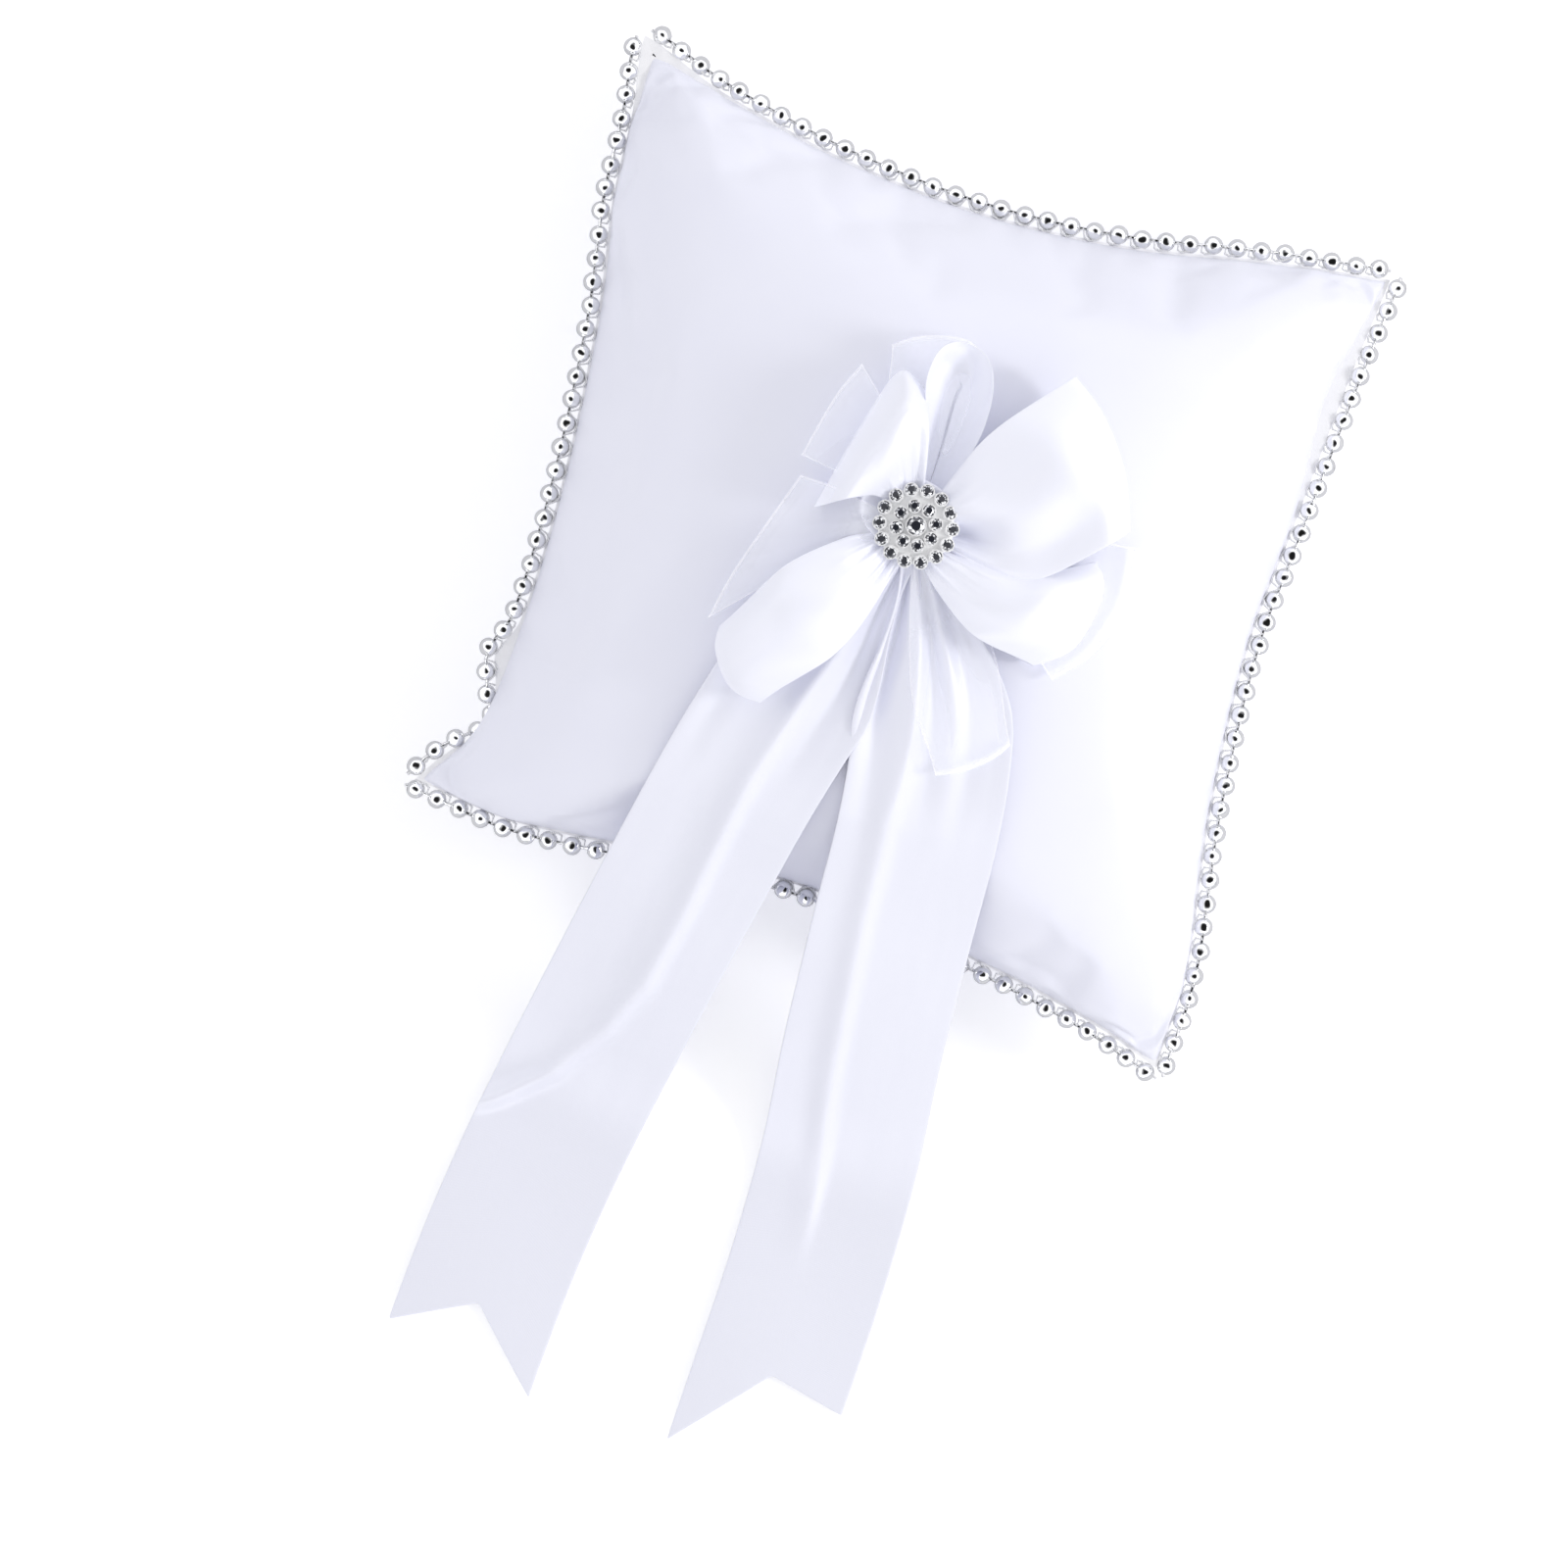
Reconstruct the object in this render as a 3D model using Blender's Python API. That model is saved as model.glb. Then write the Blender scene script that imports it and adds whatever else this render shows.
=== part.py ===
"""Ring bearer pillow: a square satin cushion edged with strung beads. A satin and organza bow with two
swallow-tailed ribbon tails is sewn to its middle under a round rhinestone button.

Run it with: blender --background --python part.py
Metres, +Z up. The pillow lies on its back at z = 0, its top edge towards +Y, and the tails run along -Y.
Sizes below are in millimetres and become metres where each object is made."""

import math

import bmesh
import bpy
from mathutils import Vector

MM = 0.001
GAP = 0.3  # clearance between two pieces that touch

# Pillow
PILLOW_SIDE = 200.0  # corner to corner along an edge, over the beads
PILLOW_LOFT = 68.0
SEAM_HEIGHT = 27.0
CORNER_DROOP = 5.0
PANEL_WALL = 0.6
PANEL_STEPS = 14
SEAT_DEPTH = 4.0  # how much of the back is pressed flat by the pillow's weight
TAPE_THICKNESS = 0.5
TAPE_INSIDE = 0.985  # share of the way from the middle to the rim where the tape starts
TAPE_LIP = 0.9
FILLING_REACH = 1  # grid rings between the rim and the filling

# The four corners and sides of the panels' rim, as drawn on a pillow of this side:
DRAWN_SIDE = 200.0
TOP_LEFT, TOP_RIGHT = (-97.0, 95.5), (93.0, 99.0)
BOTTOM_LEFT, BOTTOM_RIGHT = (-95.0, -93.0), (99.5, -102.5)
TOP_SIDE = ((-73.0, 90.0), (-44.0, 84.9), (-8.0, 82.9), (28.0, 86.1), (64.0, 94.0))
LEFT_SIDE = ((-95.0, 62.0), (-89.0, 30.0), (-84.5, -10.0), (-83.2, -45.0), (-85.5, -75.0))
RIGHT_SIDE = ((91.0, 70.0), (89.5, 34.0), (88.2, 2.0), (92.2, -40.0), (99.0, -78.0))
BOTTOM_SIDE = ((-70.0, -95.0), (-36.0, -91.5), (3.0, -87.8), (49.0, -91.8), (80.0, -97.0))

# Bead strings
BEAD_DIAMETER = 4.8
BEAD_PITCH = 6.0
THREAD_DIAMETER = 1.3
CORNER_BEAD_ROOM = 7.0  # left free of beads at each end of a side taken together
BEAD_STANDOFF = 0.6  # from the tape's edge to the beads, which also clears the mitred corners

# Bow
BOW_CENTRE = (1.2, 3.6)
RIBBON_WALL = 0.6
ORGANZA_WALL = 0.5
CORE_RADIUS = 4.0
NECK_SPREAD = 18.0  # degrees to each side that a gathered end takes at the core
TAIL_LAYER = 1.3
BACK_ORGANZA_LAYER = 0.7
FRONT_ORGANZA_LAYER = 3.0
SATIN_LAYER = 5.4
SATIN_RETURN = 3.2  # from a loop's lower pass up to its upper pass, at the core
ORGANZA_RETURN = 1.2
BUTTON_REACH = 12.0  # the loops stay low out to here, under the button
LOOP_CREST = 19.0
ORGANZA_PUFF = 2.0
STANDING_HEIGHT = 26.0

# Each loop's two end corners, in millimetres from the pillow's middle, anticlockwise first:
SATIN_LOOPS = {
    "satin_loop_upper_right": ((26.9, 51.0), (51.0, 20.6)),
    "satin_loop_lower_right": ((50.5, 14.0), (42.5, -21.6)),
    "satin_loop_upper_left": ((-25.6, 1.5), (-17.6, 38.8)),
    "satin_loop_lower_left": ((-15.0, -47.0), (-34.0, -27.0)),
}
ORGANZA_LOOPS = {
    "organza_loop_upper_left": ((-32.0, 10.5), (-26.0, 38.5)),
    "organza_loop_top": ((-22.5, 42.0), (5.6, 50.0)),
    "organza_loop_left": ((-42.3, -35.0), (-34.0, 7.0)),
    "organza_loop_right": ((60.0, 17.0), (53.0, -19.0)),
}
FRONT_ORGANZA_LOOPS = {"organza_loop_lower_right": ((42.0, -39.0), (21.0, -55.0))}
STANDING_LOOP_SIDES = ((-9.1, 46.2), (5.5, 46.6))

# Tails
RIBBON_WIDTH = 40.0
TAIL_LENGTH = 245.0  # from the core to the points of the swallowtail, along the ribbon
NOTCH_DEPTH = 13.0
TAIL_GATHER = 78.0  # along the ribbon from the core to where its full width is spread
TAIL_HINGE = 72.0  # along the ribbon from the core to where the free part starts
HINGE_GAP = 0.45
TOUCHDOWN = 60.0  # from the pillow's seam out to where a tail meets the table
TOUCHDOWN_BEND = 14.0  # on each side of where it meets the table
TAIL_ROW = 7.0
TABLE_CLEARANCE = 0.2
LEFT_TAIL_LINE = ((-2.0, -8.0), (-8.5, -26.0), (-14.0, -43.0), (-20.0, -67.0), (-25.0, -93.0),
                  (-30.5, -124.0), (-36.0, -158.0), (-39.5, -186.0), (-41.5, -215.0), (-42.5, -260.0))
RIGHT_TAIL_LINE = ((6.0, -6.0), (15.5, -27.0), (22.0, -47.0), (25.3, -67.0), (27.3, -93.0),
                   (30.0, -124.0), (33.3, -152.0), (34.6, -183.0), (34.4, -215.0), (34.0, -260.0))
LEFT_TAIL_SLANT, RIGHT_TAIL_SLANT = 6.0, -16.0  # how far the +X point is beyond the other

# Button
BUTTON_DIAMETER = 20.6
PLATE_THICKNESS = 1.0
STONE_DIAMETER = BUTTON_DIAMETER * 2.6 / 20.6  # the stones and their rings keep to the button's size
CENTRE_STONE_DIAMETER = BUTTON_DIAMETER * 4.2 / 20.6
CUP_WALL = BUTTON_DIAMETER * 0.4 / 20.6
STONE_CLEARANCE = 0.2  # all round the stone in its pocket
PAVILION_DEPTH = 0.25  # of a stone's diameter
CUP_HEIGHT = 1.8
POCKET_FLOOR = 0.4  # the metal left under each stone, above the plate
OUTER_STONES, MIDDLE_STONES = 14, 8
RING_PITCH = BUTTON_DIAMETER * 3.95 / 20.6
DOME_STEP = 0.5  # how much higher each ring of stones stands than the one outside it
SHANK_DIAMETER = 3.0
WRAP_LENGTH, WRAP_WIDTH, WRAP_THICKNESS = 24.6, 14.0, 2.2
WRAP_SHIFT = 0.6  # towards -X, where the band shows beside the button


def clear_scene():
    for item in list(bpy.data.objects):
        bpy.data.objects.remove(item, do_unlink=True)


def material(name, colour, roughness, metallic=0.0, alpha=1.0):
    made = bpy.data.materials.new(name)
    made.use_nodes = True
    shader = made.node_tree.nodes["Principled BSDF"]
    shader.inputs["Base Color"].default_value = (*colour, 1.0)
    shader.inputs["Roughness"].default_value = roughness
    shader.inputs["Metallic"].default_value = metallic
    shader.inputs["Alpha"].default_value = alpha
    made.diffuse_color = (*colour, alpha)
    return made


def new_object(name, data, finish):
    data.materials.append(finish)
    made = bpy.data.objects.new(name, data)
    bpy.context.scene.collection.objects.link(made)
    return made


def mesh_from(name, body, smooth=True):
    bmesh.ops.recalc_face_normals(body, faces=body.faces)
    if body.calc_volume(signed=True) < 0:
        bmesh.ops.reverse_faces(body, faces=body.faces)
    mesh = bpy.data.meshes.new(name)
    body.to_mesh(mesh)
    body.free()
    if smooth:
        mesh.shade_smooth()
        mesh.set_sharp_from_angle(angle=math.radians(40))
    return mesh


# Curves and grids

def smooth_line(points, count):
    """Points evenly spread along a Catmull-Rom curve through the given ones."""
    ends = [2 * points[0] - points[1], *points, 2 * points[-1] - points[-2]]
    fine = []
    for i in range(1, len(ends) - 2):
        a, b, c, d = ends[i - 1:i + 3]
        for step in range(24):
            t = step / 24
            fine.append(0.5 * (2 * b + (c - a) * t + (2 * a - 5 * b + 4 * c - d) * t ** 2
                               + (3 * b - a - 3 * c + d) * t ** 3))
    fine.append(points[-1])
    return evenly_spread(fine, count)


def evenly_spread(line, count):
    lengths = [0.0]
    for a, b in zip(line, line[1:]):
        lengths.append(lengths[-1] + (b - a).length)
    return [point_along(line, lengths, lengths[-1] * i / count) for i in range(count + 1)]


def point_along(line, lengths, distance):
    i = 1
    while i < len(line) - 1 and lengths[i] < distance:
        i += 1
    span = lengths[i] - lengths[i - 1]
    return line[i - 1].lerp(line[i], (distance - lengths[i - 1]) / span)


def grid_normals(rows):
    """A unit normal for each point of a grid, from its neighbours along and across."""
    last, side = len(rows) - 1, len(rows[0]) - 1
    normals = []
    for i, row in enumerate(rows):
        found = []
        for j in range(len(row)):
            along = rows[min(i + 1, last)][j] - rows[max(i - 1, 0)][j]
            across = rows[i][min(j + 1, side)] - rows[i][max(j - 1, 0)]
            found.append(along.cross(across).normalized())
        normals.append(found)
    return normals


def shell_between(name, upper, lower):
    """A closed body between two grids of points of the same size."""
    body = bmesh.new()
    tops = [[body.verts.new(point * MM) for point in row] for row in upper]
    lows = [[body.verts.new(point * MM) for point in row] for row in lower]
    last, side = len(upper) - 1, len(upper[0]) - 1
    for grid in (tops, lows):
        for i in range(last):
            for j in range(side):
                body.faces.new((grid[i][j], grid[i + 1][j], grid[i + 1][j + 1], grid[i][j + 1]))
    rim = [(i, 0) for i in range(last)] + [(last, j) for j in range(side)]
    rim += [(i, side) for i in range(last, 0, -1)] + [(0, j) for j in range(side, 0, -1)]
    for (i, j), (k, m) in zip(rim, rim[1:] + rim[:1]):
        body.faces.new((tops[i][j], tops[k][m], lows[k][m], lows[i][j]))
    return mesh_from(name, body)


def sheet_solid(name, rows, wall, finish):
    """A thin closed body with the grid of points as its middle surface."""
    normals = grid_normals(rows)
    upper = [[p + n * wall / 2 for p, n in zip(*pair)] for pair in zip(rows, normals)]
    lower = [[p - n * wall / 2 for p, n in zip(*pair)] for pair in zip(rows, normals)]
    return new_object(name, shell_between(name, upper, lower), finish)


# The pillow's shape

def drawn(point):
    return Vector((point[0], point[1], 0.0)) * (PILLOW_SIDE / DRAWN_SIDE)


def rim_sides():
    """The rim's four sides as fine lines, each running towards +X or towards +Y."""
    corners = [drawn(c) for c in (BOTTOM_LEFT, BOTTOM_RIGHT, TOP_LEFT, TOP_RIGHT)]
    low_left, low_right, top_left, top_right = corners
    fine = 160
    return {
        "bottom": smooth_line([low_left, *map(drawn, BOTTOM_SIDE), low_right], fine),
        "top": smooth_line([top_left, *map(drawn, TOP_SIDE), top_right], fine),
        "left": smooth_line([low_left, *map(drawn, reversed(LEFT_SIDE)), top_left], fine),
        "right": smooth_line([low_right, *map(drawn, reversed(RIGHT_SIDE)), top_right], fine),
    }


def on_line(line, share):
    place = min(max(share, 0.0), 1.0) * (len(line) - 1)
    i = min(int(place), len(line) - 2)
    return line[i].lerp(line[i + 1], place - i)


def plan_point(sides, u, v):
    """The point of the pillow's plan at (u, v), each from -1 to 1: a patch stretched between its sides."""
    s, t = (u + 1) / 2, (v + 1) / 2
    between = on_line(sides["bottom"], s).lerp(on_line(sides["top"], s), t)
    across = on_line(sides["left"], t).lerp(on_line(sides["right"], t), s)
    low = sides["bottom"][0].lerp(sides["bottom"][-1], s)
    high = sides["top"][0].lerp(sides["top"][-1], s)
    return between + across - low.lerp(high, t)


def seam_z(u, v):
    return SEAM_HEIGHT - CORNER_DROOP * (u * v) ** 2


def fullness(u, v):
    return math.sqrt(max(0.0, (1 - u * u) * (1 - v * v)))


def front_z(u, v):
    lift = TAPE_THICKNESS / 2 + GAP
    return seam_z(u, v) + lift + (PILLOW_LOFT - SEAM_HEIGHT - lift) * fullness(u, v)


def back_z(u, v):
    lift = TAPE_THICKNESS / 2 + GAP
    return max(0.0, seam_z(u, v) - lift - (SEAM_HEIGHT + SEAT_DEPTH - lift) * fullness(u, v))


def plan_of(sides, x, y):
    """(u, v) of a place in the pillow's plan, found by stepping towards it."""
    u = v = 0.0
    for _ in range(20):
        miss = Vector((x, y, 0.0)) - plan_point(sides, u, v)
        u += miss.x / (PILLOW_SIDE / 2)
        v += miss.y / (PILLOW_SIDE / 2)
    return u, v


def surface_height(sides, x, y):
    u, v = plan_of(sides, x, y)
    if max(abs(u), abs(v)) >= 1:
        return 0.0
    return front_z(u, v)


def panel_grid(sides, height, rings_left_out=0):
    steps = range(rings_left_out, PANEL_STEPS + 1 - rings_left_out)
    shares = [math.sin(math.pi * (i / PANEL_STEPS - 0.5)) for i in steps]
    rows = []
    for v in shares:
        rows.append([plan_point(sides, u, v) + Vector((0, 0, height(u, v))) for u in shares])
    return rows


def inward(rows, outwards, depth):
    """The grid moved in from its skin. Its border moves level, so that the panel's rim stays flat."""
    normals = grid_normals(rows)
    middle = rows[len(rows) // 2][len(rows) // 2]
    last, side = len(rows) - 1, len(rows[0]) - 1
    moved = []
    for i, row in enumerate(rows):
        found = []
        for j, point in enumerate(row):
            if i in (0, last) or j in (0, side):
                towards = (middle - point).to_2d().normalized()
                found.append(point + Vector((*towards, 0.0)) * depth * 1.5)
            else:
                normal = normals[i][j]
                sign = -1 if normal.z * outwards > 0 else 1
                found.append(point + normal * sign * depth)
        moved.append(found)
    return moved


def shifted(rows, rise):
    return [[point + Vector((0, 0, rise)) for point in row] for row in rows]


def make_panel(name, sides, height, outwards, finish):
    skin = panel_grid(sides, height)
    lining = inward(skin, outwards, PANEL_WALL)
    return new_object(name, shell_between(name, skin, lining), finish)


def make_filling(sides, finish):
    room = PANEL_WALL + GAP
    cut = slice(FILLING_REACH, -FILLING_REACH)
    upper = [row[cut] for row in inward(panel_grid(sides, front_z), 1, room)[cut]]
    lower = [row[cut] for row in inward(panel_grid(sides, back_z), -1, room)[cut]]
    lump = shell_between("fibre_filling", shifted(upper, -GAP), shifted(lower, GAP))
    return new_object("fibre_filling", lump, finish)


# The seam

def ring_at(sides, share, steps):
    """The closed line round the plan at this share of the way to the rim, anticlockwise."""
    runs = [2 * i / steps - 1 for i in range(steps)]
    places = [(r, -1) for r in runs] + [(1, r) for r in runs]
    places += [(-r, 1) for r in runs] + [(-1, -r) for r in runs]
    ring = []
    for u, v in places:
        point = plan_point(sides, u * share, v * share)
        ring.append(point + Vector((0, 0, seam_z(u, v))))
    return ring


def outset(ring, distance):
    """The closed line moved outwards, with mitred corners."""
    moved = []
    for i, point in enumerate(ring):
        before = (point - ring[i - 1]).to_2d().normalized()
        after = (ring[(i + 1) % len(ring)] - point).to_2d().normalized()
        way = Vector((before.y + after.y, -before.x - after.x)).normalized()
        mitre = 1 / max(0.55, way.dot(Vector((after.y, -after.x))))
        moved.append(point + Vector((*way, 0.0)) * distance * mitre)
    return moved


def make_tape(sides, finish):
    steps = 24
    half = Vector((0, 0, TAPE_THICKNESS / 2))
    inner = ring_at(sides, TAPE_INSIDE, steps)
    outer = outset(ring_at(sides, 1.0, steps), TAPE_LIP)
    body = bmesh.new()
    loops = [[body.verts.new((p + shift) * MM) for p in ring]
             for ring, shift in ((inner, half), (outer, half), (outer, -half), (inner, -half))]
    for ring, following in zip(loops, loops[1:] + loops[:1]):
        for i in range(len(ring)):
            k = (i + 1) % len(ring)
            body.faces.new((ring[i], ring[k], following[k], following[i]))
    return new_object("seam_tape", mesh_from("seam_tape", body), finish)


def bead_line(sides):
    """The line through the beads' middles, in four runs: bottom, right, top and left."""
    steps = 60
    ring = outset(ring_at(sides, 1.0, steps), TAPE_LIP + BEAD_STANDOFF + BEAD_DIAMETER / 2)
    ring.append(ring[0])
    return {name: ring[i * steps:(i + 1) * steps + 1]
            for i, name in enumerate(("bottom", "right", "top", "left"))}


def make_bead_string(name, run, finish):
    """A string of beads as one tapering tube, narrow at the thread and wide at each bead."""
    length = sum((b - a).length for a, b in zip(run, run[1:]))
    count = int((length - CORNER_BEAD_ROOM) / BEAD_PITCH)
    lengths = [0.0]
    for a, b in zip(run, run[1:]):
        lengths.append(lengths[-1] + (b - a).length)
    start = (length - count * BEAD_PITCH) / 2
    stations = []
    for bead in range(count):
        low = start + bead * BEAD_PITCH
        stations.append((low, THREAD_DIAMETER / 2))
        stations.append((low + 0.28 * BEAD_PITCH, BEAD_DIAMETER / 2))
        stations.append((low + 0.72 * BEAD_PITCH, BEAD_DIAMETER / 2))
    stations.append((start + count * BEAD_PITCH, THREAD_DIAMETER / 2))
    curve = bpy.data.curves.new(name, "CURVE")
    curve.dimensions = "3D"
    curve.bevel_depth = MM
    curve.bevel_resolution = 1
    curve.use_fill_caps = True
    spline = curve.splines.new("POLY")
    spline.points.add(len(stations) - 1)
    for point, (distance, radius) in zip(spline.points, stations):
        point.co = (*(point_along(run, lengths, distance) * MM), 1.0)
        point.radius = radius
    return new_object(name, curve, finish)


# The bow

def bow_centre():
    return Vector((*BOW_CENTRE, 0.0))


def neck_point(middle_angle, share):
    """A point of a gathered end, on its arc just outside the core."""
    angle = middle_angle + math.radians(NECK_SPREAD) * (2 * share - 1)
    return bow_centre() + Vector((math.cos(angle), math.sin(angle), 0)) * (CORE_RADIUS + GAP + 0.1)


def fan_point(corners, out, share):
    """A point of a loop's plan: out goes from the core to the end, share from one edge to the other."""
    first, second = (Vector((*corner, 0.0)) for corner in corners)
    towards = (first + second) / 2 - bow_centre()
    angle = math.atan2(towards.y, towards.x)
    turn = (first - bow_centre()).cross(second - bow_centre()).z
    bulge = towards.normalized() * 0.12 * (second - first).length * (1 - (2 * share - 1) ** 2)
    end = first.lerp(second, share) + bulge
    return neck_point(angle, share if turn > 0 else 1 - share).lerp(end, out)


def loop_rows(corners, low, high, fold):
    """Rows of points out along a loop's lower pass, round its fold and back along its upper pass."""
    first, second = (Vector((*corner, 0.0)) for corner in corners)
    reach = ((first + second) / 2 - bow_centre()).length
    turn = 1 - fold / reach
    passes = [(turn * i / 5, low) for i in range(6)]
    rows = [[fan_point(corners, out, j / 4) + Vector((0, 0, height(out * reach))) for j in range(5)]
            for out, height in passes]
    bottom, top = low(turn * reach), high(turn * reach)
    for i in range(1, 6):
        angle = math.pi * (i / 6 - 0.5)
        out = turn + (1 - turn) * math.cos(angle)
        z = (bottom + top) / 2 + (top - bottom) / 2 * math.sin(angle)
        rows.append([fan_point(corners, out, j / 4) + Vector((0, 0, z)) for j in range(5)])
    for i in range(7):
        out = turn * (1 - i / 6)
        z = high(out * reach)
        rows.append([fan_point(corners, out, j / 4) + Vector((0, 0, z)) for j in range(5)])
    return rows


def ease(value):
    value = min(max(value, 0.0), 1.0)
    return value * value * (3 - 2 * value)


def make_satin_loop(name, corners, crown, finish):
    reach = ((Vector(corners[0]) + Vector(corners[1])) / 2 - Vector(BOW_CENTRE)).length

    def low(distance):
        return crown + SATIN_LAYER - distance / reach

    def high(distance):
        start = crown + SATIN_LAYER + SATIN_RETURN
        rise = LOOP_CREST - SATIN_LAYER - SATIN_RETURN
        return start + rise * ease((distance - BUTTON_REACH) / (0.6 * reach - BUTTON_REACH + 6))

    rows = loop_rows(corners, low, high, fold=6.0)
    return sheet_solid(name, rows, RIBBON_WALL, finish)


def make_organza_loop(name, corners, layer, sides, crown, finish):
    middle = (Vector(corners[0]) + Vector(corners[1])) / 2 - Vector(BOW_CENTRE)
    reach = middle.length

    def ground(distance):
        """The pillow's height under the loop's middle line, kept from rising towards the core."""
        x, y = Vector(BOW_CENTRE) + middle.normalized() * distance
        return min(crown, surface_height(sides, x, y))

    def low(distance):
        return ground(distance) + layer

    def high(distance):
        return ground(distance) + layer + ORGANZA_RETURN + ORGANZA_PUFF * ease(distance / reach)

    rows = loop_rows(corners, low, high, fold=3.0)
    return sheet_solid(name, rows, ORGANZA_WALL, finish)


def make_standing_loop(crown, finish):
    """The narrow loop at the top, whose ribbon stands on its edge and is open upwards."""
    left, right = (Vector((*side, 0.0)) for side in STANDING_LOOP_SIDES)
    towards = math.radians(90) + 0.06
    outline = [neck_point(towards, 1.0).lerp(left, i / 6) for i in range(7)]
    middle, arm = (left + right) / 2, (left - right) / 2
    for i in range(1, 5):
        angle = math.pi * i / 5
        side = arm * math.cos(angle)
        outline.append(middle + side + Vector((0, 5.0 * math.sin(angle), 0)))
    outline += [right.lerp(neck_point(towards, 0.0), i / 6) for i in range(7)]
    rows = []
    for point in outline:
        out = (point - bow_centre()).length / (middle - bow_centre()).length
        top = SATIN_RETURN + (STANDING_HEIGHT - SATIN_RETURN) * ease((out - 0.25) / 0.75)
        foot = crown + SATIN_LAYER
        rows.append([point + Vector((0, 0, foot + top * j / 3)) for j in range(4)])
    return sheet_solid("satin_loop_top", rows, RIBBON_WALL, finish)


def core_top(crown):
    """Level with the top of the gathered ends, and a clearance above the loops' upper passes."""
    return crown + SATIN_LAYER + SATIN_RETURN + RIBBON_WALL / 2 + GAP + 0.1


def make_core(crown, finish):
    make_cylinder("gather_thread", bow_centre(), crown + GAP + 0.1, core_top(crown), CORE_RADIUS, 20, finish)


def make_cylinder(name, centre, bottom, top, radius, sides, finish, hidden=False):
    body = bmesh.new()
    bmesh.ops.create_cone(body, cap_ends=True, segments=sides, radius1=radius * MM,
                          radius2=radius * MM, depth=(top - bottom) * MM)
    bmesh.ops.translate(body, verts=body.verts, vec=(0, 0, (top - bottom) / 2 * MM))
    made = new_object(name, mesh_from(name, body), finish)
    made.location = Vector((centre.x, centre.y, bottom)) * MM
    if hidden:
        hide(made)
    return made


def hide(helper):
    helper.hide_render = True
    helper.display_type = "WIRE"


def cut(target, cutter):
    modifier = target.modifiers.new("cut_" + cutter.name, "BOOLEAN")
    modifier.operation = "DIFFERENCE"
    modifier.object = cutter


# The tails

def smooth_pull(heights, touchdown):
    """A ribbon pulled over these heights: it bridges each hollow on its way down to the table."""
    hull = []
    for point in heights[:touchdown + 1]:
        while len(hull) > 1:
            (x1, z1), (x2, z2) = hull[-2:]
            if (z2 - z1) * (point[0] - x2) > (point[1] - z2) * (x2 - x1):
                break
            hull.pop()
        hull.append(point)
    pulled = []
    for x, z in heights[:touchdown + 1]:
        i = 1
        while i < len(hull) - 1 and hull[i][0] < x:
            i += 1
        (x1, z1), (x2, z2) = hull[i - 1], hull[i]
        pulled.append(z1 + (z2 - z1) * (x - x1) / (x2 - x1))
    return pulled + [z for _, z in heights[touchdown + 1:]]


def soften_touchdown(heights, spacing):
    """The last bend down to the table made round, never lower than it was."""
    bend = round(TOUCHDOWN_BEND / spacing)
    softened = []
    for i, z in enumerate(heights):
        near = heights[max(0, i - bend):i + bend + 1]
        softened.append(max(z, sum(near) / len(near)))
    return softened


def tail_path(sides, line, first_angle):
    """Finely spaced (point, way across, half width) along a tail's middle, from the core to its end."""
    neck = neck_point(first_angle, 0.5)
    drawn_line = [neck] + [Vector((x, y, 0.0)) for x, y in line]
    flat = smooth_line(drawn_line, 300)
    spacing = sum((b - a).length for a, b in zip(flat, flat[1:])) / 300
    across, halves = [], []
    neck_half = CORE_RADIUS * math.sin(math.radians(NECK_SPREAD))
    for i in range(len(flat)):
        way = (flat[min(i + 1, 300)] - flat[max(i - 1, 0)]).normalized()
        across.append(Vector((-way.y, way.x, 0.0)))
        out = i * spacing
        halves.append(neck_half + (RIBBON_WIDTH / 2 - neck_half) * ease(out / TAIL_GATHER))
    heights = []
    table = RIBBON_WALL / 2 + TABLE_CLEARANCE
    for i, point in enumerate(flat):
        spots = [point + across[i] * halves[i] * k / 2 for k in range(-2, 3)]
        under = max(surface_height(sides, spot.x, spot.y) for spot in spots)
        heights.append((i * spacing, under + TAIL_LAYER if under > 0 else table))
    seam = max(i for i, (_, z) in enumerate(heights) if z > SEAM_HEIGHT - CORNER_DROOP)
    touchdown = min(seam + round(TOUCHDOWN / spacing), 290)
    level = soften_touchdown(smooth_pull(heights, touchdown), spacing)
    middle = [Vector((p.x, p.y, z)) for p, z in zip(flat, level)]
    return middle, across, halves


def tail_row(path, distance):
    """The ribbon's +X edge, middle and -X edge at this distance along it."""
    middle, across, halves = path
    travelled, i = 0.0, 0
    while i < len(middle) - 2 and travelled + (middle[i + 1] - middle[i]).length < distance:
        travelled += (middle[i + 1] - middle[i]).length
        i += 1
    share = (distance - travelled) / (middle[i + 1] - middle[i]).length
    point = middle[i].lerp(middle[i + 1], share)
    half = halves[i] + (halves[i + 1] - halves[i]) * share
    return [point + across[i] * half, point, point - across[i] * half]


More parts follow.
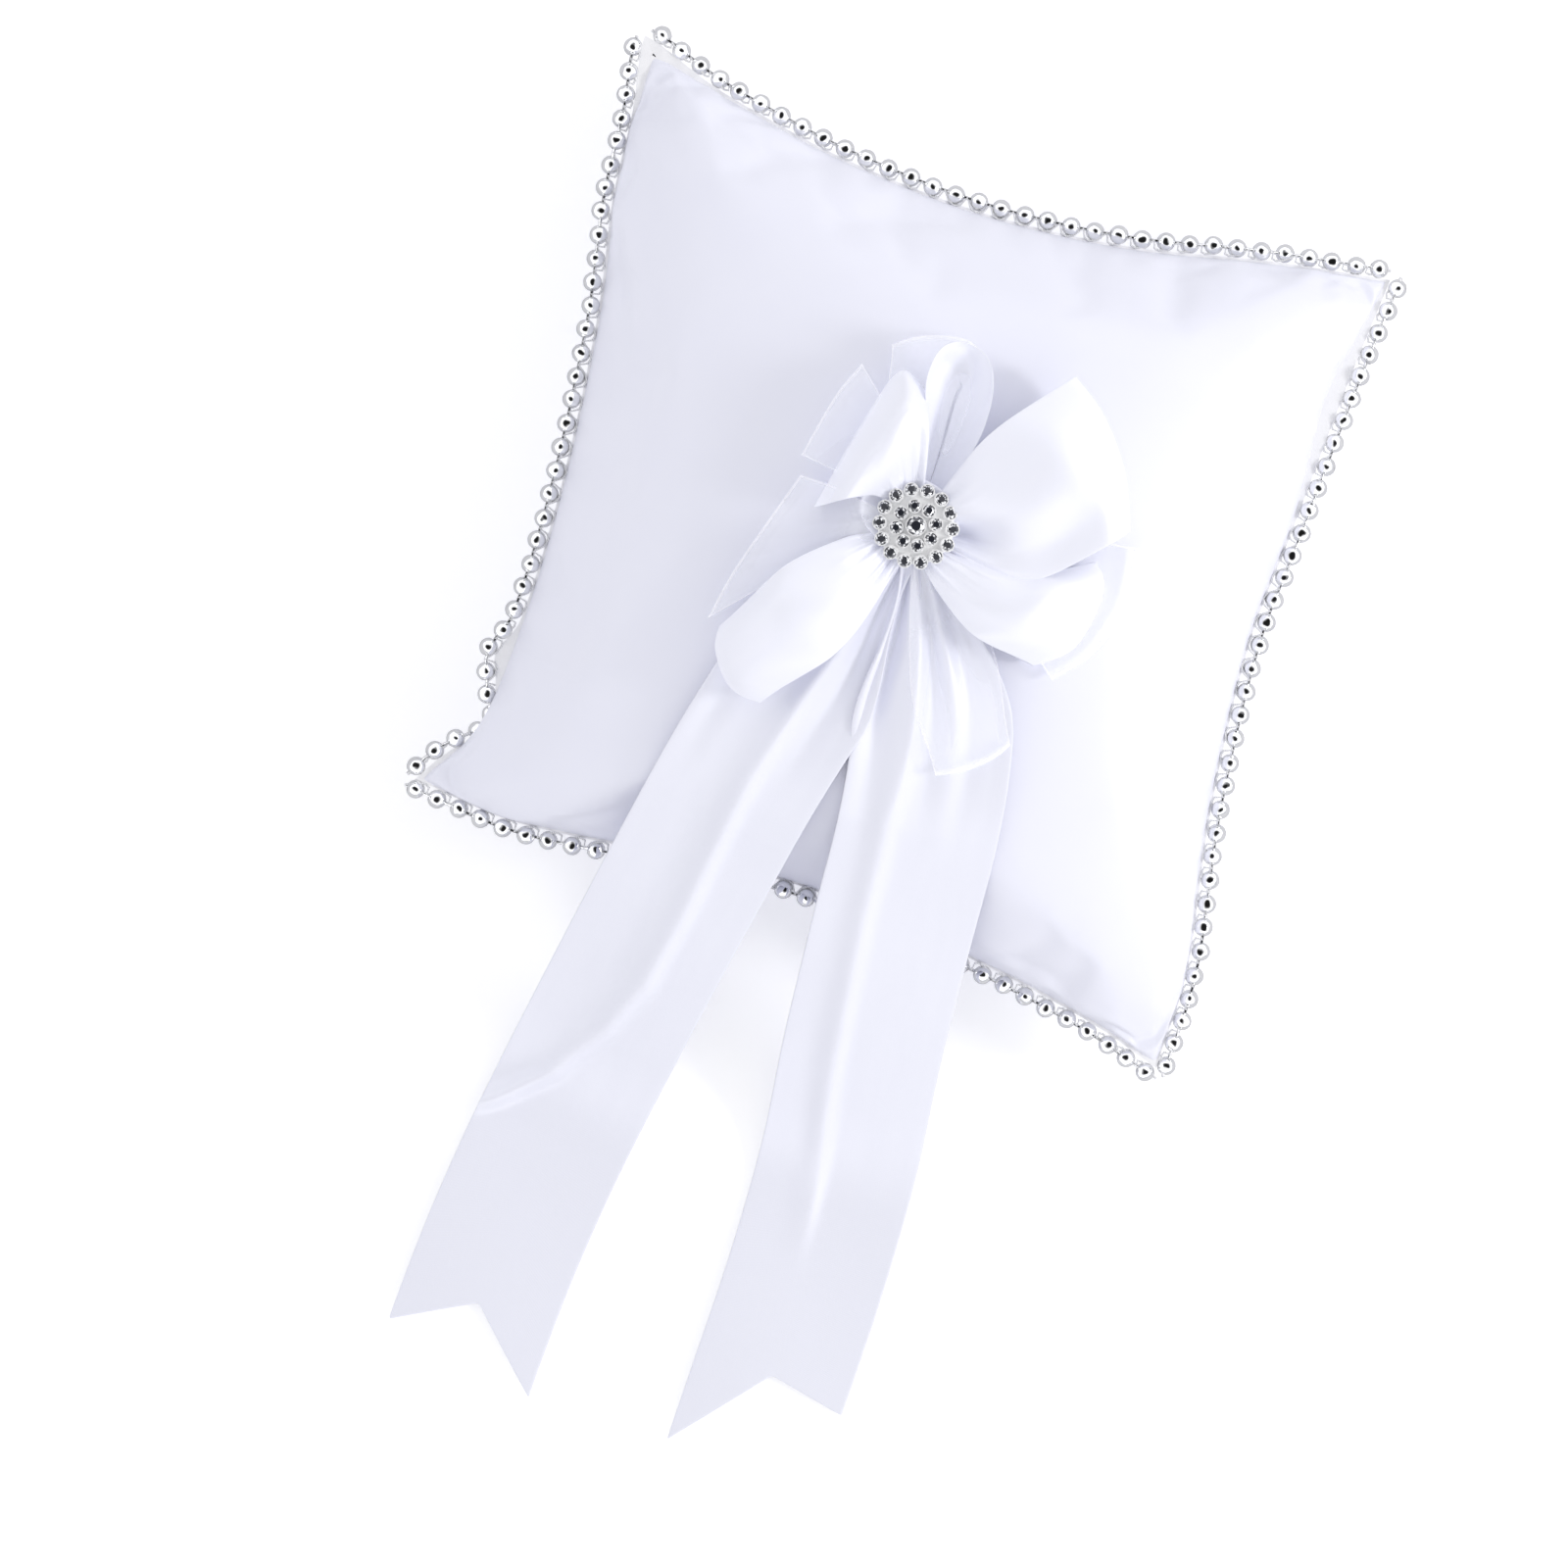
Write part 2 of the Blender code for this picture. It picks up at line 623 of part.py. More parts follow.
def make_tail(side, sides, line, first_angle, slant, finish):
    """The tail's fixed root and its free part. Returns its hinge's place and axis, by which it lifts."""
    path = tail_path(sides, line, math.radians(first_angle))
    root_end, start = TAIL_HINGE - HINGE_GAP, TAIL_HINGE + HINGE_GAP
    steps = round(root_end / TAIL_ROW)
    rows = [tail_row(path, root_end * i / steps) for i in range(steps + 1)]
    sheet_solid(side + "_tail_root", rows, RIBBON_WALL, finish)
    last = TAIL_LENGTH - NOTCH_DEPTH
    steps = round((last - start) / TAIL_ROW)
    rows = [tail_row(path, start + (last - start) * i / steps) for i in range(steps + 1)]
    notch = tail_row(path, last + 2 * GAP)[1]
    rows.append([tail_row(path, TAIL_LENGTH + slant / 2)[0], notch, tail_row(path, TAIL_LENGTH - slant / 2)[2]])
    edge, pivot, other_edge = tail_row(path, TAIL_HINGE)
    tail = sheet_solid(side + "_tail", rows, RIBBON_WALL, finish)
    hang_on(tail, side + "_tail_hinge", pivot)
    return pivot, (other_edge - edge).normalized()


def hang_on(piece, name, pivot):
    """Parents a moving piece to an empty on its joint's axis."""
    hinge = bpy.data.objects.new(name, None)
    bpy.context.scene.collection.objects.link(hinge)
    hinge.location = pivot * MM
    piece.parent = hinge
    piece.location = -pivot * MM


# The button

def stone_places():
    """(name, distance from the middle, angle, diameter, ring number from outside) of every stone."""
    places = [("centre_stone", 0.0, 0.0, CENTRE_STONE_DIAMETER, 2)]
    outer = (BUTTON_DIAMETER - STONE_DIAMETER) / 2 - CUP_WALL
    for prefix, count, radius, ring in (("outer_stone", OUTER_STONES, outer, 0),
                                        ("middle_stone", MIDDLE_STONES, outer - RING_PITCH, 1)):
        for i in range(count):
            angle = 2 * math.pi * (i + 0.5) / count
            places.append((f"{prefix}_{i + 1:02d}", radius, angle, STONE_DIAMETER, ring))
    return places


def stone_mesh(diameter, finish):
    """A round brilliant: table, crown, girdle and pavilion, with its girdle's underside at z = 0."""
    radius = diameter / 2
    rings = ((0.55 * radius, 0.42 * radius), (radius, 0.1 * radius), (radius, 0.0),
             (0.3 * radius, -PAVILION_DEPTH * diameter))
    body = bmesh.new()
    loops = []
    for size, z in rings:
        loops.append([body.verts.new(Vector((size * math.cos(math.pi * k / 4),
                                             size * math.sin(math.pi * k / 4), z)) * MM) for k in range(8)])
    for ring, following in zip(loops, loops[1:]):
        for k in range(8):
            body.faces.new((ring[k], ring[(k + 1) % 8], following[(k + 1) % 8], following[k]))
    body.faces.new(loops[0])
    body.faces.new(loops[-1])
    mesh = mesh_from("stone", body, smooth=False)
    mesh.materials.append(finish)
    return mesh


def cylinders(name, places, bottom, top, extra, finish):
    """One hidden helper that holds an upright cylinder for each stone."""
    body = bmesh.new()
    for _, distance, angle, diameter, ring in places:
        made = bmesh.ops.create_cone(body, cap_ends=True, segments=10, radius1=(diameter / 2 + extra) * MM,
                                     radius2=(diameter / 2 + extra) * MM, depth=(top(ring) - bottom(ring)) * MM)
        place = Vector((distance * math.cos(angle), distance * math.sin(angle), (top(ring) + bottom(ring)) / 2))
        bmesh.ops.translate(body, verts=made["verts"], vec=place * MM)
    helper = new_object(name, mesh_from(name, body), finish)
    hide(helper)
    return helper


def make_button(seat, metal, crystal, satin):
    """The rhinestone button on its shank, over the satin band wrapped round the knot."""
    centre = bow_centre()
    wrap_bottom = seat + GAP
    wrap_top = wrap_bottom + WRAP_THICKNESS
    middle = centre - Vector((WRAP_SHIFT, 0, 0))
    wrap = make_cylinder("knot_wrap", middle, wrap_bottom, wrap_top, WRAP_WIDTH / 2, 24, satin)
    stretch = WRAP_LENGTH / WRAP_WIDTH
    for vertex in wrap.data.vertices:
        vertex.co.x *= stretch
    bore = SHANK_DIAMETER / 2 + GAP
    cut(wrap, make_cylinder("shank_hole", centre, wrap_bottom - 1, wrap_top + 1, bore, 16, satin, hidden=True))
    make_cylinder("button_shank", centre, wrap_bottom, wrap_top, SHANK_DIAMETER / 2, 16, metal)
    plate_bottom = wrap_top + GAP
    plate_top = plate_bottom + PLATE_THICKNESS
    places = stone_places()
    plate = make_cylinder("button_base", centre, plate_bottom, plate_top, BUTTON_DIAMETER / 2 - 1.0, 32, metal)
    cups = cylinders("stone_cups", places, lambda ring: PLATE_THICKNESS / 2,
                     lambda ring: PLATE_THICKNESS + CUP_HEIGHT + ring * DOME_STEP, CUP_WALL, metal)
    pockets = cylinders("stone_pockets", places, lambda ring: PLATE_THICKNESS + POCKET_FLOOR + ring * DOME_STEP,
                        lambda ring: PLATE_THICKNESS + 3 * CUP_HEIGHT, STONE_CLEARANCE, metal)
    for helper in (cups, pockets):
        helper.location = plate.location
    joined = plate.modifiers.new("cups", "BOOLEAN")
    joined.operation = "UNION"
    joined.object = cups
    cut(plate, pockets)
    meshes = {size: stone_mesh(size, crystal) for size in (STONE_DIAMETER, CENTRE_STONE_DIAMETER)}
    for name, distance, angle, diameter, ring in places:
        stone = bpy.data.objects.new(name, meshes[diameter])
        bpy.context.scene.collection.objects.link(stone)
        rise = plate_top + POCKET_FLOOR + ring * DOME_STEP + GAP + PAVILION_DEPTH * diameter
        stone.location = (centre + Vector((distance * math.cos(angle), distance * math.sin(angle), rise))) * MM
        stone.rotation_euler.z = angle


def main():
    clear_scene()
    satin = material("white_satin", (0.86, 0.88, 0.95), 0.35)
    organza = material("white_organza", (0.90, 0.92, 0.98), 0.5, alpha=0.6)
    fibre = material("polyester_fibre", (0.93, 0.93, 0.92), 0.9)
    tape = material("cotton_tape", (0.90, 0.90, 0.92), 0.8)
    beads = material("silver_beads", (0.78, 0.79, 0.80), 0.12, metallic=1.0)
    silver = material("silver_plate", (0.80, 0.80, 0.82), 0.18, metallic=1.0)
    thread = material("white_thread", (0.85, 0.85, 0.88), 0.7)
    crystal = material("clear_rhinestone", (0.62, 0.64, 0.68), 0.05)

    sides = rim_sides()
    crown = surface_height(sides, *BOW_CENTRE)
    make_panel("front_panel", sides, front_z, 1, satin)
    make_panel("back_panel", sides, back_z, -1, satin)
    make_filling(sides, fibre)
    make_tape(sides, tape)
    for name, run in bead_line(sides).items():
        make_bead_string("bead_string_" + name, run, beads)

    make_core(crown, thread)
    for name, corners in SATIN_LOOPS.items():
        make_satin_loop(name, corners, crown, satin)
    make_standing_loop(crown, satin)
    for name, corners in ORGANZA_LOOPS.items():
        make_organza_loop(name, corners, BACK_ORGANZA_LAYER, sides, crown, organza)
    for name, corners in FRONT_ORGANZA_LOOPS.items():
        make_organza_loop(name, corners, FRONT_ORGANZA_LAYER, sides, crown, organza)

    left = make_tail("left", sides, LEFT_TAIL_LINE, -106.0, LEFT_TAIL_SLANT, satin)
    right = make_tail("right", sides, RIGHT_TAIL_LINE, -66.0, RIGHT_TAIL_SLANT, satin)
    for side, (pivot, axis) in (("left", left), ("right", right)):
        print(side, "tail hinge at", [round(c * MM, 5) for c in pivot], "axis", [round(c, 4) for c in axis])

    seat = core_top(crown)
    make_button(seat, silver, crystal, satin)


main()
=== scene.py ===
# %% [markdown]
# # A ring bearer pillow in Blender
# The pillow is a satin cushion with a string of silver beads sewn all round it, a bow of satin and
# organza ribbon with two long tails, and a rhinestone button over the knot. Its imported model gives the
# places and sizes. This script makes the soft and shiny surfaces that a person sees.

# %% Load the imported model
import bpy
import math
import numpy as np
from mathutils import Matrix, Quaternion, Vector
from mathutils.bvhtree import BVHTree


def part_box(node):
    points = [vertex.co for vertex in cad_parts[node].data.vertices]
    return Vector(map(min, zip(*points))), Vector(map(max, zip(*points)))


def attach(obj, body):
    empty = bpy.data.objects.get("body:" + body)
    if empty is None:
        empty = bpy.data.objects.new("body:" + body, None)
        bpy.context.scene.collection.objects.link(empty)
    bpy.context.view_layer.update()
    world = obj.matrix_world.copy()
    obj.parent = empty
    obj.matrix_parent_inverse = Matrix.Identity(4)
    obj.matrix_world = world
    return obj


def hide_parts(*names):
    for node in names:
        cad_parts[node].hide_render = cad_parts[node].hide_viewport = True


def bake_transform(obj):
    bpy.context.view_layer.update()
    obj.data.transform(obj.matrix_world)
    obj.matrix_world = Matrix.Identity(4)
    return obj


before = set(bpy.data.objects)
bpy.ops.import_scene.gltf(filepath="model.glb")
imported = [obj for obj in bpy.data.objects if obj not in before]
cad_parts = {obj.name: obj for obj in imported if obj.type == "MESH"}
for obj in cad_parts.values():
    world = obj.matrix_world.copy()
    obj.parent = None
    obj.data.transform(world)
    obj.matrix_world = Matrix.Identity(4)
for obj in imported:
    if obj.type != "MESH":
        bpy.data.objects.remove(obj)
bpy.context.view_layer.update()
MM = 0.001

# %% [markdown]
# ## Small tools
# Operators act on whatever is selected, so every step starts by selecting one object alone. Ribbons,
# panels and tapes all begin as a flat grid primitive whose points are then laid where the cloth goes.

# %% Tools for selecting, laying out and finishing a piece
def set_inputs(node, values):
    for name, value in values.items():
        node.inputs[name].default_value = value


def pick(piece):
    """Selects this object alone and makes it the active one."""
    bpy.ops.object.select_all(action="DESELECT")
    piece.select_set(True)
    bpy.context.view_layer.objects.active = piece


def apply_modifier(piece, kind, **settings):
    """Adds one modifier with these settings and applies it."""
    pick(piece)
    modifier = piece.modifiers.new(kind.lower(), kind)
    for name, value in settings.items():
        setattr(modifier, name, value)
    bpy.ops.object.modifier_apply(modifier=modifier.name)


def settle(piece):
    """Moves the object's place, turn and scale into its mesh, and leaves the object at the origin."""
    pick(piece)
    bpy.ops.object.transform_apply(location=True, rotation=True, scale=True)


def outward(piece):
    pick(piece)
    bpy.ops.object.mode_set(mode="EDIT")
    bpy.ops.mesh.select_all(action="SELECT")
    bpy.ops.mesh.remove_doubles(threshold=0.000001)
    bpy.ops.mesh.normals_make_consistent(inside=False)
    bpy.ops.object.mode_set(mode="OBJECT")


def smooth(piece, degrees=50):
    pick(piece)
    bpy.ops.object.shade_smooth_by_angle(angle=math.radians(degrees))


def laid_grid(name, along, across, place):
    """A grid primitive whose point (s, w), each 0 to 1, is moved to place(s, w), in millimetres."""
    bpy.ops.object.select_all(action="DESELECT")
    bpy.ops.mesh.primitive_grid_add(x_subdivisions=along, y_subdivisions=across, size=1)
    piece = bpy.context.object
    piece.name = name
    for vertex in piece.data.vertices:
        vertex.co = Vector(place(vertex.co.x + 0.5, vertex.co.y + 0.5)) * MM
    return piece


def finish_piece(piece, body, material, slot, *nodes):
    """Gives a piece its finish and the body it rides on, and hides the CAD nodes it stands for."""
    piece.data.materials.clear()
    piece.data.materials.append(material)
    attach(piece, body)
    if nodes:
        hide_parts(*nodes)
    faces = len(piece.data.polygons) if piece.type == "MESH" else 0
    print("made", piece.name, "with", faces, "faces")


def ease(value):
    value = min(max(value, 0.0), 1.0)
    return value * value * (3 - 2 * value)


def ridge(offset, width):
    """1 on the line and falling away on both sides."""
    return math.exp(-(offset / width) ** 2)


def through(points, share):
    """A place on the smooth curve through these points, share from 0 at the first to 1 at the last."""
    points = [Vector(p) for p in points]
    ends = [2 * points[0] - points[1], *points, 2 * points[-1] - points[-2]]
    place = min(max(share, 0.0), 1.0) * (len(points) - 1)
    i = min(int(place), len(points) - 2)
    t = place - i
    a, b, c, d = ends[i:i + 4]
    return 0.5 * (2 * b + (c - a) * t + (2 * a - 5 * b + 4 * c - d) * t ** 2 + (3 * b - a - 3 * c + d) * t ** 3)


def evenly(points, count):
    """count + 1 places at equal steps along the smooth curve through these points."""
    fine = [through(points, i / 600) for i in range(601)]
    lengths = np.concatenate([[0], np.cumsum([(b - a).length for a, b in zip(fine, fine[1:])])])
    wanted = np.linspace(0, lengths[-1], count + 1)
    columns = [np.interp(wanted, lengths, [p[k] for p in fine]) for k in range(len(fine[0]))]
    return [Vector(p) for p in zip(*columns)]

# %% [markdown]
# ## The materials
# White satin is a dense weave whose long floating threads shine along one way. The weave is too fine to
# model, so a node group draws it as a small bump and a small change of roughness. The same group serves
# the cushion, the ribbon and the tape with different scales.

# %% A node group for woven cloth
def group_socket(group, name, kind, way, default=None):
    made = group.interface.new_socket(name=name, in_out=way, socket_type=kind)
    if default is not None:
        made.default_value = default


def woven_group():
    """Warp and weft waves, with slow colour and gloss changes, on a vector that it is given."""
    group = bpy.data.node_groups.new("woven_cloth", "ShaderNodeTree")
    group_socket(group, "Vector", "NodeSocketVector", "INPUT")
    group_socket(group, "Threads", "NodeSocketFloat", "INPUT", 2000.0)
    group_socket(group, "Slub Scale", "NodeSocketFloat", "INPUT", 300.0)
    group_socket(group, "Tone", "NodeSocketColor", "INPUT", (0.8, 0.82, 0.88, 1))
    group_socket(group, "Shade", "NodeSocketColor", "INPUT", (0.7, 0.72, 0.82, 1))
    group_socket(group, "Smooth", "NodeSocketFloat", "INPUT", 0.3)
    group_socket(group, "Rough", "NodeSocketFloat", "INPUT", 0.45)
    group_socket(group, "Height", "NodeSocketFloat", "OUTPUT")
    group_socket(group, "Color", "NodeSocketColor", "OUTPUT")
    group_socket(group, "Roughness", "NodeSocketFloat", "OUTPUT")
    nodes, links = group.nodes, group.links
    given = nodes.new("NodeGroupInput")
    made = nodes.new("NodeGroupOutput")
    waves = []
    for direction in ("X", "Y"):
        wave = nodes.new("ShaderNodeTexWave")
        wave.bands_direction = direction
        set_inputs(wave, {"Distortion": 0.6, "Detail": 1.0})
        links.new(given.outputs["Vector"], wave.inputs["Vector"])
        links.new(given.outputs["Threads"], wave.inputs["Scale"])
        waves.append(wave)
    cross = nodes.new("ShaderNodeMath")
    cross.operation = "MULTIPLY"
    links.new(waves[0].outputs["Fac"], cross.inputs[0])
    links.new(waves[1].outputs["Fac"], cross.inputs[1])
    slub = nodes.new("ShaderNodeTexNoise")
    slub.inputs["Detail"].default_value = 3.0
    links.new(given.outputs["Vector"], slub.inputs["Vector"])
    links.new(given.outputs["Slub Scale"], slub.inputs["Scale"])
    total = nodes.new("ShaderNodeMath")
    total.operation = "ADD"
    links.new(cross.outputs[0], total.inputs[0])
    links.new(slub.outputs["Fac"], total.inputs[1])
    tint = nodes.new("ShaderNodeMix")
    tint.data_type = "RGBA"
    links.new(slub.outputs["Fac"], tint.inputs["Factor"])
    links.new(given.outputs["Tone"], tint.inputs["A"])
    links.new(given.outputs["Shade"], tint.inputs["B"])
    gloss = nodes.new("ShaderNodeMapRange")
    links.new(slub.outputs["Fac"], gloss.inputs["Value"])
    links.new(given.outputs["Smooth"], gloss.inputs["To Min"])
    links.new(given.outputs["Rough"], gloss.inputs["To Max"])
    links.new(total.outputs[0], made.inputs["Height"])
    links.new(tint.outputs["Result"], made.inputs["Color"])
    links.new(gloss.outputs["Result"], made.inputs["Roughness"])
    return group


woven = woven_group()
print("woven cloth group has", len(woven.nodes), "nodes")

# %% White satin, for the cushion and for the ribbon
def new_material(name):
    material = bpy.data.materials.new(name)
    material.use_nodes = True
    return material, material.node_tree.nodes, material.node_tree.links


def satin_material(name, coordinate, threads, slub, bump, tone, shade, gloss=0.55):
    """Satin on Object coordinates for the cushion, or on UV where the weave follows a ribbon."""
    material, nodes, links = new_material(name)
    shader = nodes["Principled BSDF"]
    place = nodes.new("ShaderNodeTexCoord")
    cloth = nodes.new("ShaderNodeGroup")
    cloth.node_tree = woven
    set_inputs(cloth, {"Threads": threads, "Slub Scale": slub, "Tone": (*tone, 1), "Shade": (*shade, 1)})
    relief = nodes.new("ShaderNodeBump")
    set_inputs(relief, {"Strength": bump, "Distance": 0.00005})
    links.new(place.outputs[coordinate], cloth.inputs["Vector"])
    links.new(cloth.outputs["Height"], relief.inputs["Height"])
    links.new(cloth.outputs["Color"], shader.inputs["Base Color"])
    links.new(cloth.outputs["Roughness"], shader.inputs["Roughness"])
    links.new(relief.outputs["Normal"], shader.inputs["Normal"])
    set_inputs(shader, {"Sheen Weight": 0.2, "Sheen Roughness": 0.35, "Specular IOR Level": gloss,
                        "Anisotropic": 0.4})
    return material


cushion_satin = satin_material("cushion_satin", "Object", 1500, 55, 0.25, (0.885, 0.893, 0.99), (0.86, 0.868, 0.975))
ribbon_satin = satin_material("ribbon_satin", "UV", 160, 9, 0.2, (0.885, 0.895, 0.99), (0.86, 0.87, 0.97), 1.0)
# The bow gets a copy of the ribbon satin painted a little lighter, with a faint white glow: painted light on the loops
# and the knot band.
bow_satin_with_painted_light = satin_material("bow_satin_with_painted_light", "UV", 160, 9, 0.2, (0.90, 0.91, 0.995), (0.875, 0.885, 0.985), 1.0)
bow_shader_with_painted_glow = bow_satin_with_painted_light.node_tree.nodes["Principled BSDF"]
set_inputs(bow_shader_with_painted_glow, {"Emission Color": (0.93, 0.94, 1.0, 1.0), "Emission Strength": 0.05})
tape_cloth = satin_material("tape_cloth", "Object", 700, 200, 0.6, (0.95, 0.95, 0.97), (0.90, 0.90, 0.93), 0.2)
print("satins:", cushion_satin.name, ribbon_satin.name, bow_satin_with_painted_light.name, tape_cloth.name)

# %% [markdown]
# Organza is a sheer plain weave: most of what a person sees is what lies behind it, and its woven
# edge shows as a fine bright line. Alpha carries both, with the edge found from the ribbon's own UV.

# %% Organza
def organza_material():
    material, nodes, links = new_material("sheer_organza")
    shader = nodes["Principled BSDF"]
    place = nodes.new("ShaderNodeTexCoord")
    cloth = nodes.new("ShaderNodeGroup")
    cloth.node_tree = woven
    set_inputs(cloth, {"Threads": 120, "Slub Scale": 14, "Tone": (0.97, 0.975, 1.0, 1),
                       "Shade": (0.93, 0.94, 0.985, 1), "Smooth": 0.35, "Rough": 0.5})
    links.new(place.outputs["UV"], cloth.inputs["Vector"])
    links.new(cloth.outputs["Color"], shader.inputs["Base Color"])
    links.new(cloth.outputs["Roughness"], shader.inputs["Roughness"])
    split = nodes.new("ShaderNodeSeparateXYZ")
    links.new(place.outputs["UV"], split.inputs["Vector"])
    middle = nodes.new("ShaderNodeMath")
    middle.operation = "SUBTRACT"
    middle.inputs[1].default_value = 0.5
    links.new(split.outputs["Y"], middle.inputs[0])
    side = nodes.new("ShaderNodeMath")
    side.operation = "ABSOLUTE"
    links.new(middle.outputs[0], side.inputs[0])
    edge = nodes.new("ShaderNodeMapRange")
    set_inputs(edge, {"From Min": 0.486, "From Max": 0.493, "To Min": 0.1, "To Max": 0.34})
    links.new(side.outputs[0], edge.inputs["Value"])
    along = nodes.new("ShaderNodeMath")
    along.operation = "SUBTRACT"
    along.inputs[1].default_value = 0.5
    links.new(split.outputs["X"], along.inputs[0])
    from_fold = nodes.new("ShaderNodeMath")
    from_fold.operation = "ABSOLUTE"
    links.new(along.outputs[0], from_fold.inputs[0])
    doubled = nodes.new("ShaderNodeMapRange")
    set_inputs(doubled, {"From Min": 0.006, "From Max": 0.018, "To Min": 0.4, "To Max": 0.0})
    links.new(from_fold.outputs[0], doubled.inputs["Value"])
    gathered = nodes.new("ShaderNodeMapRange")
    gathered.interpolation_type = "SMOOTHSTEP"
    set_inputs(gathered, {"From Min": 0.15, "From Max": 0.5, "To Max": 0.6})
    links.new(from_fold.outputs[0], gathered.inputs["Value"])
    folds = nodes.new("ShaderNodeMath")
    folds.operation = "ADD"
    links.new(doubled.outputs["Result"], folds.inputs[0])
    links.new(gathered.outputs["Result"], folds.inputs[1])
    opaque = nodes.new("ShaderNodeMath")
    opaque.operation = "ADD"
    opaque.use_clamp = True
    links.new(edge.outputs["Result"], opaque.inputs[0])
    links.new(folds.outputs[0], opaque.inputs[1])
    weave = nodes.new("ShaderNodeMath")
    weave.operation = "MULTIPLY_ADD"
    weave.inputs[1].default_value = 0.08
    links.new(cloth.outputs["Height"], weave.inputs[0])
    links.new(opaque.outputs[0], weave.inputs[2])
    links.new(weave.outputs[0], shader.inputs["Alpha"])
    # The faint white glow is painted light, lifting the sheer cloth towards white.
    set_inputs(shader, {"Sheen Weight": 0.3, "Emission Color": (0.93, 0.94, 1.0, 1), "Emission Strength": 0.16})
    return material


organza = organza_material()
print("organza alpha runs from its sheer middle to its woven edge")

# %% [markdown]
# The beads and the button are plated: a mirror of silver with faint dull patches where fingers have
# been. The stones are cut glass with a foiled back; the light and dark of their facets is painted reflection.

# %% Silver, glass and thread
def plated_material(name, tone, dull_tone, bright, dull, scale, metallic, dented):
    material, nodes, links = new_material(name)
    shader = nodes["Principled BSDF"]
    shader.inputs["Metallic"].default_value = metallic
    place = nodes.new("ShaderNodeTexCoord")
    patches = nodes.new("ShaderNodeTexNoise")
    set_inputs(patches, {"Scale": scale, "Detail": 2.0})
    links.new(place.outputs["Object"], patches.inputs["Vector"])
    gloss = nodes.new("ShaderNodeMapRange")
    set_inputs(gloss, {"From Min": 0.35, "From Max": 0.7, "To Min": bright, "To Max": dull})
    links.new(patches.outputs["Fac"], gloss.inputs["Value"])
    links.new(gloss.outputs["Result"], shader.inputs["Roughness"])
    tint = nodes.new("ShaderNodeMix")
    tint.data_type = "RGBA"
    set_inputs(tint, {"A": (*tone, 1), "B": (*dull_tone, 1)})
    links.new(patches.outputs["Fac"], tint.inputs["Factor"])
    links.new(tint.outputs["Result"], shader.inputs["Base Color"])
    dents = nodes.new("ShaderNodeTexNoise")
    set_inputs(dents, {"Scale": scale, "Detail": 0.0})
    links.new(place.outputs["Object"], dents.inputs["Vector"])
    relief = nodes.new("ShaderNodeBump")
    set_inputs(relief, {"Strength": dented, "Distance": 0.0006})
    links.new(dents.outputs["Fac"], relief.inputs["Height"])
    links.new(relief.outputs["Normal"], shader.inputs["Normal"])
    return material


bead_silver = plated_material("bead_silver", (0.93, 0.93, 0.93), (0.80, 0.81, 0.83), 0.03, 0.14, 420, 1.0, 0.9)
button_silver = plated_material("button_silver", (0.97, 0.97, 0.97), (0.86, 0.865, 0.88), 0.28, 0.45, 500, 0.12, 0.2)


def rhinestone_material():
    """Painted reflections: each facet's brightness, held in the face attribute "facet", is painted into the base
    colour.
    """
    material, nodes, links = new_material("foiled_rhinestone")
    shader = nodes["Principled BSDF"]
    set_inputs(shader, {"Metallic": 0.25, "IOR": 1.7, "Coat Weight": 1.0, "Coat Roughness": 0.02})
    facet = nodes.new("ShaderNodeAttribute")
    facet.attribute_name = "facet"
    place = nodes.new("ShaderNodeTexCoord")
    fleck = nodes.new("ShaderNodeTexNoise")
    fleck.inputs["Scale"].default_value = 900
    links.new(place.outputs["Object"], fleck.inputs["Vector"])
    mixed = nodes.new("ShaderNodeMath")
    mixed.operation = "MULTIPLY_ADD"
    mixed.inputs[1].default_value = 0.35
    links.new(fleck.outputs["Fac"], mixed.inputs[0])
    links.new(facet.outputs["Fac"], mixed.inputs[2])
    # The ramp paints each facet's reflection into the base colour, from near black to near white.
    painted_facet_reflection = nodes.new("ShaderNodeValToRGB")
    painted_facet_reflection.color_ramp.elements[0].color = (0.03, 0.033, 0.045, 1)
    painted_facet_reflection.color_ramp.elements[1].color = (0.97, 0.98, 1.0, 1)
    painted_facet_reflection.color_ramp.elements[0].position = 0.35
    painted_facet_reflection.color_ramp.elements[1].position = 0.85
    links.new(mixed.outputs[0], painted_facet_reflection.inputs["Fac"])
    links.new(painted_facet_reflection.outputs["Color"], shader.inputs["Base Color"])
    gloss = nodes.new("ShaderNodeMapRange")
    set_inputs(gloss, {"To Min": 0.04, "To Max": 0.2})
    links.new(fleck.outputs["Fac"], gloss.inputs["Value"])
    links.new(gloss.outputs["Result"], shader.inputs["Roughness"])
    return material


def thread_material():
    material, nodes, links = new_material("twisted_thread")
    shader = nodes["Principled BSDF"]
    shader.inputs["Sheen Weight"].default_value = 0.3
    place = nodes.new("ShaderNodeTexCoord")
    ply = nodes.new("ShaderNodeTexWave")
    ply.bands_direction = "DIAGONAL"
    ply.inputs["Scale"].default_value = 900
    links.new(place.outputs["Object"], ply.inputs["Vector"])
    tint = nodes.new("ShaderNodeMix")
    tint.data_type = "RGBA"
    set_inputs(tint, {"A": (0.62, 0.63, 0.66, 1), "B": (0.86, 0.86, 0.88, 1)})
    links.new(ply.outputs["Fac"], tint.inputs["Factor"])
    links.new(tint.outputs["Result"], shader.inputs["Base Color"])
    relief = nodes.new("ShaderNodeBump")
    set_inputs(relief, {"Strength": 0.5, "Distance": 0.0001})
    links.new(ply.outputs["Fac"], relief.inputs["Height"])
    links.new(relief.outputs["Normal"], shader.inputs["Normal"])
    shader.inputs["Roughness"].default_value = 0.7
    return material


